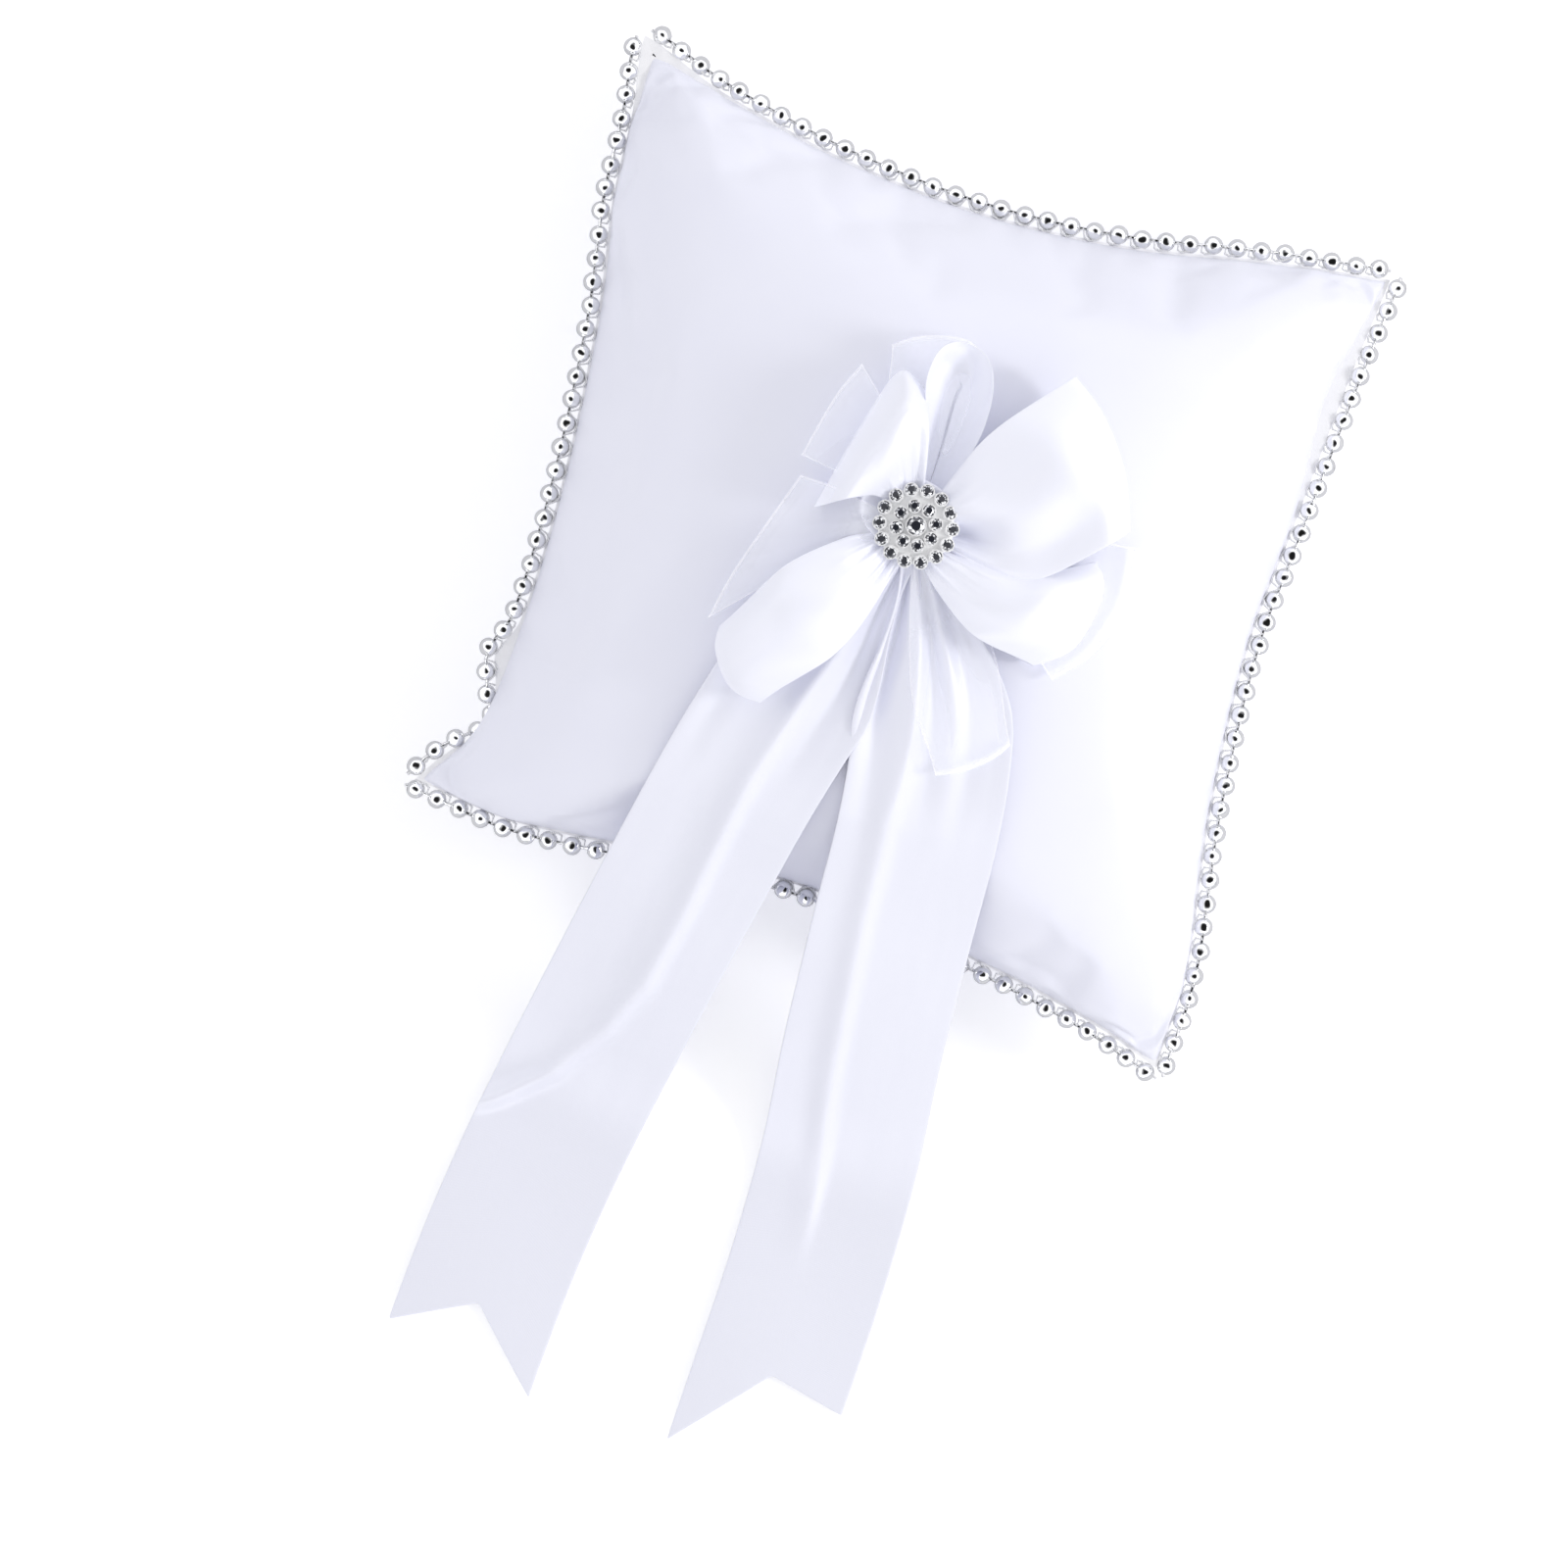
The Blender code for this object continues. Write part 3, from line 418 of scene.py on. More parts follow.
rhinestone = rhinestone_material()
thread = thread_material()
print("hard finishes:", bead_silver.name, button_silver.name, rhinestone.name, thread.name)

# %% [markdown]
# ## The cushion
# The cover is two satin squares sewn together and stuffed. The seam pulls in along each side, because
# the cloth has to go up and over the filling, and the corners stay out as flat, pointed ears. The plan
# is a patch stretched between its four sides. The stuffing rises from the seam like a quarter circle.

# %% The cushion's outline and shape, in millimetres
TOP_LEFT, TOP_RIGHT = (-97.0, 95.5), (93.0, 99.0)
BOTTOM_LEFT, BOTTOM_RIGHT = (-95.0, -93.0), (99.5, -102.5)
SIDES = {
    "bottom": (BOTTOM_LEFT, (-70.0, -95.0), (-36.0, -91.5), (3.0, -87.8), (49.0, -91.8), (80.0, -97.0), BOTTOM_RIGHT),
    "top": (TOP_LEFT, (-73.0, 90.0), (-44.0, 84.9), (-8.0, 82.9), (28.0, 86.1), (64.0, 94.0), TOP_RIGHT),
    "left": (BOTTOM_LEFT, (-85.5, -75.0), (-83.2, -45.0), (-84.5, -10.0), (-89.0, 30.0), (-95.0, 62.0), TOP_LEFT),
    "right": (BOTTOM_RIGHT, (99.0, -78.0), (92.2, -40.0), (88.2, 2.0), (89.5, 34.0), (91.0, 70.0), TOP_RIGHT),
}
SEAM_HEIGHT = 27.0
CORNER_DROOP = 5.0
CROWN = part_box("front_panel")[1][2] / MM  # the stuffed middle's height
side_lines = {name: [Vector((*p, 0)) for p in evenly(points, 200)] for name, points in SIDES.items()}


def on_side(name, share):
    line = side_lines[name]
    place = min(max(share, 0.0), 1.0) * (len(line) - 1)
    i = min(int(place), len(line) - 2)
    return line[i].lerp(line[i + 1], place - i)


def plan_point(u, v):
    s, t = (u + 1) / 2, (v + 1) / 2
    between = on_side("bottom", s).lerp(on_side("top", s), t)
    across = on_side("left", t).lerp(on_side("right", t), s)
    low = on_side("bottom", 0).lerp(on_side("bottom", 1), s)
    high = on_side("top", 0).lerp(on_side("top", 1), s)
    return between + across - low.lerp(high, t)


def seam_height(u, v):
    return SEAM_HEIGHT - CORNER_DROOP * (u * v) ** 2


def fullness(u, v):
    return math.sqrt(max(0.0, (1 - u * u) * (1 - v * v)))


def cushion_point(u, v, front, spread=1.0):
    """spread moves the cover out over the tape, except by the upper right corner, where it is drawn in."""
    rise = (CROWN - SEAM_HEIGHT) if front else -(SEAM_HEIGHT + 4.0)
    z = seam_height(u, v) + rise * fullness(u, v)
    place = plan_point(u, v) * spread
    if spread > 1:
        place.x -= 3.4 * ridge(place.y - 68, 20) * ease((u - 0.75) / 0.25)
    return place + Vector((0, 0, max(z, 0.0)))


print("crown at", round(CROWN, 1), "mm over the table")

# %% [markdown]
# The two panels start as grids that meet at the rim, a little smaller than the CAD cushion. Cloth
# simulation then swells them with an inner pressure while the seam and the spot under the knot stay
# pinned. The cloth is given 2% more length than the shape needs, and that spare length is what puckers
# along the seam and pulls into creases at the corners.

# %% Two panels, sewn at the rim
CUSHION_STEPS = 84
COVER_SPREAD = 1.012  # the stuffing pushes the cover a little way out over the tape
BOW_CENTRE = Vector((1.2, 3.6, 0.0))


def panel(name, front):
    def place(s, w):
        u, v = (math.sin(math.pi * (k - 0.5)) for k in (s, w))
        return cushion_point(u, v, front, COVER_SPREAD)
    return laid_grid(name, CUSHION_STEPS, CUSHION_STEPS, place)


cover = panel("cushion_cover", True)
back = panel("cushion_back", False)
pick(cover)
back.select_set(True)
bpy.ops.object.join()
outward(cover)
print("cover has", len(cover.data.vertices), "points")

# %% Pin the seam and swell the cover
def pin_group(piece, pinned):
    group = piece.vertex_groups.new(name="pins")
    for vertex in piece.data.vertices:
        weight = pinned(vertex.co / MM)
        if weight > 0:
            group.add([vertex.index], weight, "REPLACE")


def rim_points():
    return [cushion_point(u, v, True, COVER_SPREAD) for i in range(161) for u, v in
            ((i / 80 - 1, -1), (i / 80 - 1, 1), (-1, i / 80 - 1), (1, i / 80 - 1))]


def pin_weight_maker():
    from mathutils.kdtree import KDTree
    rim = rim_points()
    tree = KDTree(len(rim))
    for i, point in enumerate(rim):
        tree.insert(point, i)
    tree.balance()

    def weight(place):
        to_rim = tree.find(place)[2]
        to_knot = (place - BOW_CENTRE).to_2d().length if place.z > 40 else 99
        return 1.0 if to_rim < 1.6 or to_knot < 6 or place.z < 0.05 else 0.0
    return weight


def swell(piece, frames=20, most=4.0):
    """Cloth under pressure, with each point kept within a few millimetres of where it began."""
    rest = [v.co.copy() for v in piece.data.vertices]
    pin_group(piece, pin_weight_maker())
    modifier = piece.modifiers.new("cloth", "CLOTH")
    cloth = modifier.settings
    cloth.quality = 6
    cloth.mass = 0.15
    cloth.vertex_group_mass = "pins"
    cloth.use_pressure = True
    cloth.uniform_pressure_force = 4.0
    cloth.tension_stiffness = cloth.compression_stiffness = 12
    cloth.bending_stiffness = 0.6
    cloth.shrink_min = -0.018
    cloth.effector_weights.gravity = 0.0
    for step in range(1, frames + 1):
        bpy.context.scene.frame_set(step)
    pick(piece)
    bpy.ops.object.modifier_apply(modifier=modifier.name)
    for vertex, start in zip(piece.data.vertices, rest):
        moved = vertex.co - start
        if moved.length > most * MM:
            moved *= most * MM / moved.length
        vertex.co = start + moved
        vertex.co.z = max(vertex.co.z, 0.0)
    bpy.context.scene.frame_set(1)


swell(cover)
apply_modifier(cover, "SUBSURF", levels=1, render_levels=1)
smooth(cover, 180)
finish_piece(cover, "pillow", cushion_satin, "white_satin", "front_panel", "back_panel", "fibre_filling")

# %% A way to ask how high the cushion is
cover_tree = BVHTree.FromObject(cover, bpy.context.evaluated_depsgraph_get())


def cover_height(x, y):
    """The cushion's upper surface at this place, in millimetres, or 0 beside it."""
    hit = cover_tree.ray_cast(Vector((x * MM, y * MM, 0.3)), Vector((0, 0, -1)))[0]
    return hit.z / MM if hit else 0.0


print("cover height under the knot:", round(cover_height(1.2, 3.6), 1), "mm")

# %% [markdown]
# ## The bead string and its tape
# The trim is a narrow woven tape with a string of silver beads whipped to its edge. The tape is caught
# in the seam, so only its lip shows. Its line is the rim moved outwards.

# %% The rim, and lines outside it
def rim_line(steps):
    runs = [2 * i / steps - 1 for i in range(steps)]
    places = [(r, -1) for r in runs] + [(1, r) for r in runs] + [(-r, 1) for r in runs] + [(-1, -r) for r in runs]
    return [cushion_point(u, v, True) for u, v in places]


def moved_out(ring, distance):
    """A closed line moved outwards by a distance, with its corners mitred."""
    moved = []
    for i, point in enumerate(ring):
        before = (point - ring[i - 1]).to_2d().normalized()
        after = (ring[(i + 1) % len(ring)] - point).to_2d().normalized()
        way = Vector((before.y + after.y, -before.x - after.x)).normalized()
        mitre = 1 / max(0.55, way.dot(Vector((after.y, -after.x))))
        moved.append(point + Vector((*way, 0)) * distance * mitre)
    return moved


def kinked(point):
    """The trim is sewn on by hand: low on the left it bulges out, then tucks in under the cushion's edge."""
    if point.x > -70:
        return point
    out, tuck = 3.2 * ridge(point.y + 58, 5.5), ridge(point.y + 75, 5.5)
    return point + Vector((5.2 * tuck - out, 0, -4.0 * tuck))


def peaked(point):
    """At the upper left corner the trim stands off from the cover's rounded corner, and the tape fills the gap."""
    near = (point - rim[3 * RIM_STEPS]).to_2d().length
    return point + Vector((-3.0, 3.0, 0.6)) * ridge(near, 11)


def trim_line(distance):
    return [peaked(kinked(point)) for point in moved_out(rim, distance)]


RIM_STEPS = 150
rim = rim_line(RIM_STEPS)
BEAD_DIAMETER = 4.8
BEAD_PITCH = 6.0
TAPE_LIP = 1.6
bead_ring = trim_line(1.5 + BEAD_DIAMETER / 2)
lip_ring = trim_line(TAPE_LIP)
root_ring = moved_out(rim, -5.0)
print("the beads' line is", round(sum((a - b).length for a, b in zip(bead_ring, bead_ring[1:]))), "mm long")

# %% The tape's lip
def tape_place(s, w):
    i = round(s * len(rim)) % len(rim)
    ruffle = 0.25 * math.sin(i * 1.9) + 0.2 * math.sin(i * 0.73)
    across = root_ring[i].lerp(lip_ring[i], w)
    return across + Vector((0, 0, 0.25 + ruffle * w))


tape = laid_grid("bead_tape", len(rim), 3, tape_place)
apply_modifier(tape, "SOLIDIFY", thickness=0.4 * MM, offset=0)
outward(tape)
smooth(tape)
finish_piece(tape, "pillow", tape_cloth, "cotton_tape", "seam_tape")

# %% [markdown]
# A bead is a hollow plated ball with a hole through it, a little shorter than it is wide. One bead is
# modelled from a sphere whose ends are drawn in round the hole. It is then copied along each side, at
# equal steps, and each copy is turned to follow the string.

# %% One bead
def one_bead():
    bpy.ops.object.select_all(action="DESELECT")
    bpy.ops.mesh.primitive_uv_sphere_add(segments=13, ring_count=9, radius=BEAD_DIAMETER / 2 * MM)
    bead = bpy.context.object
    bpy.ops.object.mode_set(mode="EDIT")
    bpy.ops.mesh.select_all(action="DESELECT")
    bpy.ops.object.mode_set(mode="OBJECT")
    for vertex in bead.data.vertices:
        vertex.select = abs(vertex.co.z) > 0.98 * BEAD_DIAMETER / 2 * MM
    bpy.ops.object.mode_set(mode="EDIT")
    bpy.ops.transform.resize(value=(1, 1, 0.8))
    bpy.ops.object.mode_set(mode="OBJECT")
    return bead


def side_runs():
    """The beads' line as four runs, named for the sides."""
    ring = bead_ring + bead_ring[:1]
    return {name: ring[i * RIM_STEPS:(i + 1) * RIM_STEPS + 1]
            for i, name in enumerate(("bottom", "right", "top", "left"))}


def spaced(run, start, pitch, count):
    lengths = np.concatenate([[0], np.cumsum([(b - a).length for a, b in zip(run, run[1:])])])
    wanted = start + pitch * np.arange(count)
    return [Vector(p) for p in zip(*[np.interp(wanted, lengths, [p[k] for p in run]) for k in range(3)])]


def bead_copies(bead, name, places, rng):
    """Copies of the bead at these places, each turned along the string, joined as one piece."""
    copies = []
    for i, place in enumerate(places):
        ahead = (places[min(i + 1, len(places) - 1)] - places[max(i - 1, 0)]).normalized()
        copy = bead.copy()
        copy.data = bead.data.copy()
        bpy.context.scene.collection.objects.link(copy)
        copy.location = place * MM
        copy.rotation_mode = "QUATERNION"
        tilt = Vector(rng.normal(0, 0.16, 3))
        spin = Quaternion((0, 0, 1), rng.uniform(0, math.tau))
        copy.rotation_quaternion = (ahead + tilt).to_track_quat("Z", "Y") @ spin
        copies.append(copy)
    bpy.ops.object.select_all(action="DESELECT")
    for copy in copies:
        copy.select_set(True)
    bpy.context.view_layer.objects.active = copies[0]
    bpy.ops.object.join()
    string = bpy.context.object
    string.name = name
    settle(string)
    smooth(string, 60)
    return string


# %% The four bead strings
rng = np.random.default_rng(7)
bead = one_bead()
neck_places = {}
for side, run in side_runs().items():
    length = sum((b - a).length for a, b in zip(run, run[1:]))
    count = round((length - 5.0) / BEAD_PITCH)
    start = (length - (count - 1) * BEAD_PITCH) / 2
    places = [p + Vector((*rng.normal(0, 0.12, 2), rng.normal(0, 0.3))) for p in spaced(run, start, BEAD_PITCH, count)]
    neck_places[side] = spaced(run, start - BEAD_PITCH / 2, BEAD_PITCH, count + 1)
    string = bead_copies(bead, "beads_" + side, places, rng)
    finish_piece(string, "pillow", bead_silver, "silver_beads", "bead_string_" + side)
bpy.data.objects.remove(bead)

# %% [markdown]
# The beads' own thread shows between them, and a sewing thread loops from the tape over that thread
# between each pair of beads. Both are curves with a round section, made meshes at the end.

# %% The threads
def thread_piece(name, points, radius, material, slot):
    data = bpy.data.curves.new(name, "CURVE")
    data.dimensions = "3D"
    data.bevel_depth = radius * MM
    data.bevel_resolution = 1
    data.use_fill_caps = True
    spline = data.splines.new("POLY")
    spline.points.add(len(points) - 1)
    for point, place in zip(spline.points, points):
        point.co = (*(place * MM), 1)
    piece = bpy.data.objects.new(name, data)
    bpy.context.scene.collection.objects.link(piece)
    pick(piece)
    bpy.ops.object.convert(target="MESH")
    piece = bpy.context.object
    smooth(piece, 60)
    finish_piece(piece, "pillow", material, slot)
    return piece


def whip_points(side):
    """Over the beads' thread at each neck, and down to the tape's lip beside each bead."""
    middle = Vector((0, 0, 0))
    points = []
    necks = neck_places[side]
    for a, b in zip(necks, necks[1:]):
        inward = (middle - (a + b) / 2).to_2d().normalized()
        inward = Vector((*inward, 0))
        points.append(a + Vector((0, 0, 0.9)))
        points.append(a.lerp(b, 0.25) + inward * 2.3 + Vector((0, 0, 0.8)))
        points.append(a.lerp(b, 0.5) + inward * 2.9 + Vector((0, 0, 0.7)))
        points.append(a.lerp(b, 0.75) + inward * 2.3 + Vector((0, 0, 0.8)))
    points.append(necks[-1] + Vector((0, 0, 0.9)))
    return points


for side, necks in neck_places.items():
    thread_piece("bead_thread_" + side, necks, 0.45, bead_silver, "silver_beads")
    thread_piece("bead_whipping_" + side, whip_points(side), 0.3, thread, "white_thread")

# %% [markdown]
# ## The bow
# A bow like this is not tied. Each loop is a length of ribbon folded over, gathered at its cut ends and
# bound to the others by a few tight turns of thread. The gathering makes pleats that spread out from
# the knot and die away before the fold. A loop is a grid laid out along its lower side, round its fold
# and back along its upper side.

# %% The thread that binds the bow
crown = cover_height(BOW_CENTRE.x, BOW_CENTRE.y)
thread_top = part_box("gather_thread")[1][2] / MM
coil = []
for i in range(16 * 9 + 1):
    turn = 2 * math.pi * i / 16
    coil.append(BOW_CENTRE + Vector((3.6 * math.cos(turn), 3.6 * math.sin(turn),
                                     thread_top - 8.2 + 7.6 * i / (16 * 9))))
knot_thread = thread_piece("knot_thread", coil, 0.45, thread, "white_thread")
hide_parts("gather_thread")
bpy.ops.object.select_all(action="DESELECT")
bpy.ops.mesh.primitive_cylinder_add(vertices=20, radius=3.3 * MM, depth=8.0 * MM,
                                    location=(BOW_CENTRE.x * MM, BOW_CENTRE.y * MM, (thread_top - 4.4) * MM))
gathers = bpy.context.object
gathers.name = "gathered_ends"
settle(gathers)
smooth(gathers)
finish_piece(gathers, "pillow", ribbon_satin, "white_satin")
print("knot thread has", len(knot_thread.data.polygons), "faces; cushion's crown at", round(crown, 1), "mm")

# %% [markdown]
# Each loop is described by its two selvedges, as they are seen from above, and by its pleats. A pleat
# has a place across the ribbon, a width, a depth and a length. Positive depths are valleys.

# %% Laying out a loop
KNOT_TOP = thread_top


def pleat_relief(pleats, share, out):
    """The pleats' depth at this place, deepest a little way from the knot and fading outwards."""
    depth = 0.0
    for place, width, deep, length in pleats:
        start = ease(out / 0.12)
        depth -= deep * ridge(share - place, width * (0.45 + 0.9 * out)) * start * (1 - ease(out / length))
    return depth


def loop_plan(edges, end, out, share):
    """From the knot (out 0) to the fold (out 1), between the two selvedges. end is the fold's own line."""
    first, second = (through([BOW_CENTRE.to_2d(), *edge], out) for edge in edges)
    corners = Vector(edges[0][-1]), Vector(edges[1][-1])
    fold_point = through([corners[0], *end, corners[1]], share)
    return first.lerp(second, share) + (fold_point - corners[0].lerp(corners[1], share)) * out ** 1.6


def pit_relief(pits, share, out):
    """Dents pressed into the loop, each (out, share, length, width, depth)."""
    return -sum(deep * ridge(out - at_out, long) * ridge(share - at_share, wide)
                for at_out, at_share, long, wide, deep in pits)


def line_length(line):
    return sum((b - a).length for a, b in zip(line, line[1:])) * MM


def declare_ribbon(loop, place):
    """Prints a loop's flat size, measured along its own lines. This flat size is the shape's, and not what real ribbon
    is cut to.

    The real ribbon is 40 mm wide throughout. The shallow gathers made here hold too little cloth for that,
    so the area share is near 1 by construction. So the area share that the checks measure is near 1 by construction.
    """
    grid = [[Vector(place(i / 100, k / 24)) for k in range(25)] for i in range(101)]
    lengths = [line_length([row[k] for row in grid]) for k in range(25)]
    widths = [line_length(row) for row in grid]
    long, narrowest, widest = (round(size * 1000) for size in (max(lengths), min(widths), max(widths)))
    print(f"{loop.name}: {long} mm long, {narrowest} to {widest} mm wide")


def satin_loop(name, edges, end, crest, pleats, pits=(), arch=3.0, drop=6.0, fold=0.1, rounded=0.0, steps=(72, 56)):
    """A folded loop: its lower side near the cushion, its fold, then its arched and pleated upper side."""
    def place(s, w):
        upper = s > 0.5
        rolled = 1 - abs(2 * s - 1)
        out = 1 - abs(2 * s - 1)
        if rolled > 1 - fold:
            angle = (s - 0.5) / (fold / 2) * math.pi / 2
            out = 1 - fold * (1 - math.cos(angle))
            height = math.sin(angle)
        else:
            height = 1.0 if upper else -1.0
        kept_width = 1 - rounded * ease((out - 0.72) / 0.28)
        flat = loop_plan(edges, end, out, 0.5 + (w - 0.5) * kept_width)
        edge = (2 * w - 1) ** 2
        low = crown + 5.4 - drop * ease(out)
        high = KNOT_TOP - 0.3 + (crest - (KNOT_TOP - crown)) * ease((out - 0.12) / 0.65)
        high += arch * (1 - edge) * ease(out / 0.5)
        high -= 4.5 * ease((out - 0.74) / 0.26)
        high += pleat_relief(pleats, w, out) + pit_relief(pits, w, out)
        gathers = 0.6 * math.sin(27 * w + 1) + 0.4 * math.sin(45 * w + 2 * out) + 0.25 * math.sin(71 * w)
        high += gathers * ease(out / 0.12) * (1 - ease(out / 0.6))
        high += 0.35 * math.sin(9 * w + 14 * out) * ease(out / 0.3)
        z = (high + low) / 2 + (high - low) / 2 * height
        return (*flat, z)

    loop = laid_grid(name, *steps, place)
    apply_modifier(loop, "SOLIDIFY", thickness=0.25 * MM, offset=0)
    apply_modifier(loop, "SUBSURF", levels=1, render_levels=1)
    smooth(loop, 180)
    declare_ribbon(loop, place)
    return loop


# %% The four satin loops round the knot
SATIN_LOOPS = {
    "upper_right": dict(edges=(((4.5, 14.0), (11.5, 31.0), (26.9, 51.0)),
                               ((12.8, 1.0), (31.0, -1.0), (46.6, 13.0), (51.6, 19.0))),
                        end=((36.5, 44.0), (45.6, 32.5)), crest=19, arch=4.0, fold=0.17,
                        pleats=((0.30, 0.08, 1.6, 0.5), (0.48, 0.05, -1.5, 0.45),
                                (0.92, 0.06, -1.5, 0.6), (0.12, 0.05, 1.5, 0.6)),
                        pits=((0.33, 0.62, 0.15, 0.17, 8.0), (0.62, 0.8, 0.16, 0.16, 3.0))),
    "lower_right": dict(edges=(((12.0, 1.0), (30.0, 0.0), (45.0, 11.0)),
                               ((6.0, -5.0), (13.2, -11.5), (23.0, -17.5), (37.0, -21.5))),
                        end=((50.0, 3.0), (47.5, -12.5)), crest=15, arch=3.5, fold=0.15, rounded=0.14,
                        pleats=((0.15, 0.08, 4.0, 0.6), (0.55, 0.06, 1.5, 0.5), (0.75, 0.05, -1.2, 0.5),
                                (0.42, 0.05, -1.2, 0.5))),
    "upper_left": dict(edges=(((0.2, 13.0), (-2.6, 25.0), (-6.4, 35.6)), ((-9.0, 7.5), (-15.0, 5.5), (-24.0, 0.0))),
                       end=((-14.5, 38.5), (-19.5, 22.0)), crest=19, arch=3.0, fold=0.22,
                       pleats=((0.15, 0.07, 2.0, 0.9), (0.5, 0.08, 2.5, 0.7), (0.35, 0.05, -1.2, 0.6),
                               (0.85, 0.06, 1.5, 0.6)),
                       pits=((0.35, 0.3, 0.15, 0.16, 2.5),)),
    "lower_left": dict(edges=(((-9.0, -1.5), (-15.0, -5.0), (-26.4, -15.8), (-36.8, -32.0)),
                              ((-1.0, -12.0), (-6.0, -29.0), (-18.0, -49.5))),
                       end=((-36.0, -40.5), (-29.0, -48.5)), crest=17, arch=4.0, fold=0.2, rounded=0.2,
                       pleats=((0.14, 0.07, 3.0, 0.4), (0.4, 0.07, 1.8, 0.5), (0.6, 0.05, -1.2, 0.5),
                               (0.8, 0.06, 1.8, 0.6))),
}
for side, shape in SATIN_LOOPS.items():
    loop = satin_loop("satin_" + side, **shape)
    finish_piece(loop, "pillow", bow_satin_with_painted_light, "white_satin", "satin_loop_" + side)

# %% [markdown]
# The fifth loop, at the top, is narrower and stands on its selvedge, so that a person looks down into
# it. Its ribbon goes out along the left side, round the end and back along the right side.

# %% The standing loop
STANDING_LINE = ((-1.2, 8.0), (-2.2, 20.0), (-4.8, 30.0), (-7.8, 39.0), (-7.2, 46.0), (-3.0, 49.8), (2.4, 49.8),
                 (6.6, 46.0), (9.4, 39.0), (9.6, 31.0), (7.4, 21.0), (3.4, 8.0))


def standing_place(s, w):
    """w is 0 at the foot, where the two sides nearly meet, and 1 at the open selvedge."""
    x, y = through(STANDING_LINE, s)
    out = ease((y - 6) / 38)
    middle = 1.1 - 0.01 * (y - 8)
    lean = w ** 0.5
    foot_x, foot_y = middle + (x - middle) * 0.02, min(y, 38.0 + 0.2 * (y - 38))
    foot = crown + 6.6 - 1.2 * out
    top = KNOT_TOP - 0.6 + (8.0 + 0.8 * math.sin(11 * s + 1)) * out * (1 - 0.95 * ridge(s - 0.5, 0.2))
    flutter = 0.35 * math.sin(7 * w + 22 * s) * out
    place = Vector((foot_x, foot_y)).lerp(Vector((x, y)), lean)
    return (place.x + flutter, place.y, foot + (top - foot) * w)


standing = laid_grid("satin_top", 72, 16, standing_place)
apply_modifier(standing, "SOLIDIFY", thickness=0.25 * MM, offset=0)
apply_modifier(standing, "SUBSURF", levels=1, render_levels=1)
smooth(standing, 180)
finish_piece(standing, "pillow", bow_satin_with_painted_light, "white_satin", "satin_loop_top")
declare_ribbon(standing, standing_place)

# %% [markdown]
# Behind the satin are four loops of organza, and one more lies in front at the lower right. They are
# the same loops with a flatter fold, and all but two lie under the satin. Their crisp gauze has long
# straight pleats that reach the fold.

# %% The organza loops
ORGANZA_LOOPS = {
    "upper_left": dict(edges=(((-5.0, 14.0), (-12.0, 26.0), (-24.0, 38.5)),
                              ((-10.0, 8.0), (-20.0, 10.0), (-31.5, 10.5))),
                       end=((-28.0, 28.0),), crest=12, under=True),
    "top": dict(edges=(((3.0, 16.0), (4.0, 30.0), (6.0, 48.5)), ((-5.0, 14.0), (-13.0, 28.0), (-23.0, 41.0))),
                end=((-1.5, 52.0), (-13.0, 49.0)), crest=8, under=True, rounded=0.3),
    "left": dict(edges=(((-9.0, 5.0), (-18.0, 6.0), (-29.5, 8.0)), ((-8.0, -3.0), (-22.0, -14.0), (-41.0, -35.6))),
                 end=((-34.0, -6.5), (-38.5, -22.0)), crest=16, under=False),
    "right": dict(edges=(((14.0, 4.0), (34.0, 12.0), (56.0, 17.5)), ((12.0, -2.0), (30.0, -10.0), (44.5, -23.0))),
                  end=((57.5, 2.0), (53.5, -12.0)), crest=8, under=True),
    "lower_right": dict(edges=(((11.0, -4.0), (27.0, -17.0), (42.0, -38.0)),
                               ((5.0, -12.0), (11.5, -32.0), (22.0, -55.0))),
                        end=((38.0, -45.0), (31.0, -51.0)), crest=8, under=False, rounded=0.25),
}


def organza_loop(name, edges, end, crest, under, rounded=0.06):
    def place(s, w):
        fold = 0.05
        out = 1 - abs(2 * s - 1)
        height = 1.0 if s > 0.5 else -1.0
        if out > 1 - fold:
            angle = (s - 0.5) / (fold / 2) * math.pi / 2
            out = 1 - fold * (1 - math.cos(angle))
            height = math.sin(angle)
        kept_width = 1 - rounded * ease((out - 0.7) / 0.3)
        flat = loop_plan(edges, end, out, 0.5 + (w - 0.5) * kept_width)
        ground = min(crown, cover_height(*flat))
        low = ground + (0.9 if under else 3.0)
        far = ground + crest - 1.5 * ease((out - 0.85) / 0.15)
        near = ground + 4.0 if under else KNOT_TOP - 1.2
        high = near + (far - near) * ease(out / 0.9)
        pleat = 0.6 * math.sin(2 * math.pi * 2.5 * w) + 0.15 * math.sin(2 * math.pi * 5 * w + 1)
        high += pleat * (0.9 - 0.6 * out) * ease(out / 0.2)
        return (*flat, (high + low) / 2 + (high - low) / 2 * height)

    loop = laid_grid(name, 56, 32, place)
    apply_modifier(loop, "SUBSURF", levels=1, render_levels=1)
    smooth(loop, 180)
    declare_ribbon(loop, place)
    return loop


for side, shape in ORGANZA_LOOPS.items():
    loop = organza_loop("organza_" + side, **shape)
    finish_piece(loop, "pillow", organza, "white_organza", "organza_loop_" + side)

# %% [markdown]
# ## The tails
# Each tail is one ribbon. It is gathered at the knot, goes down the cushion's slope and lies flat on the
# table. The gathers run on as long soft ridges. A hinge in the imported model lets the free half lift; the
# place on the ribbon over the hinge is found, and the ribbon is left in one piece.

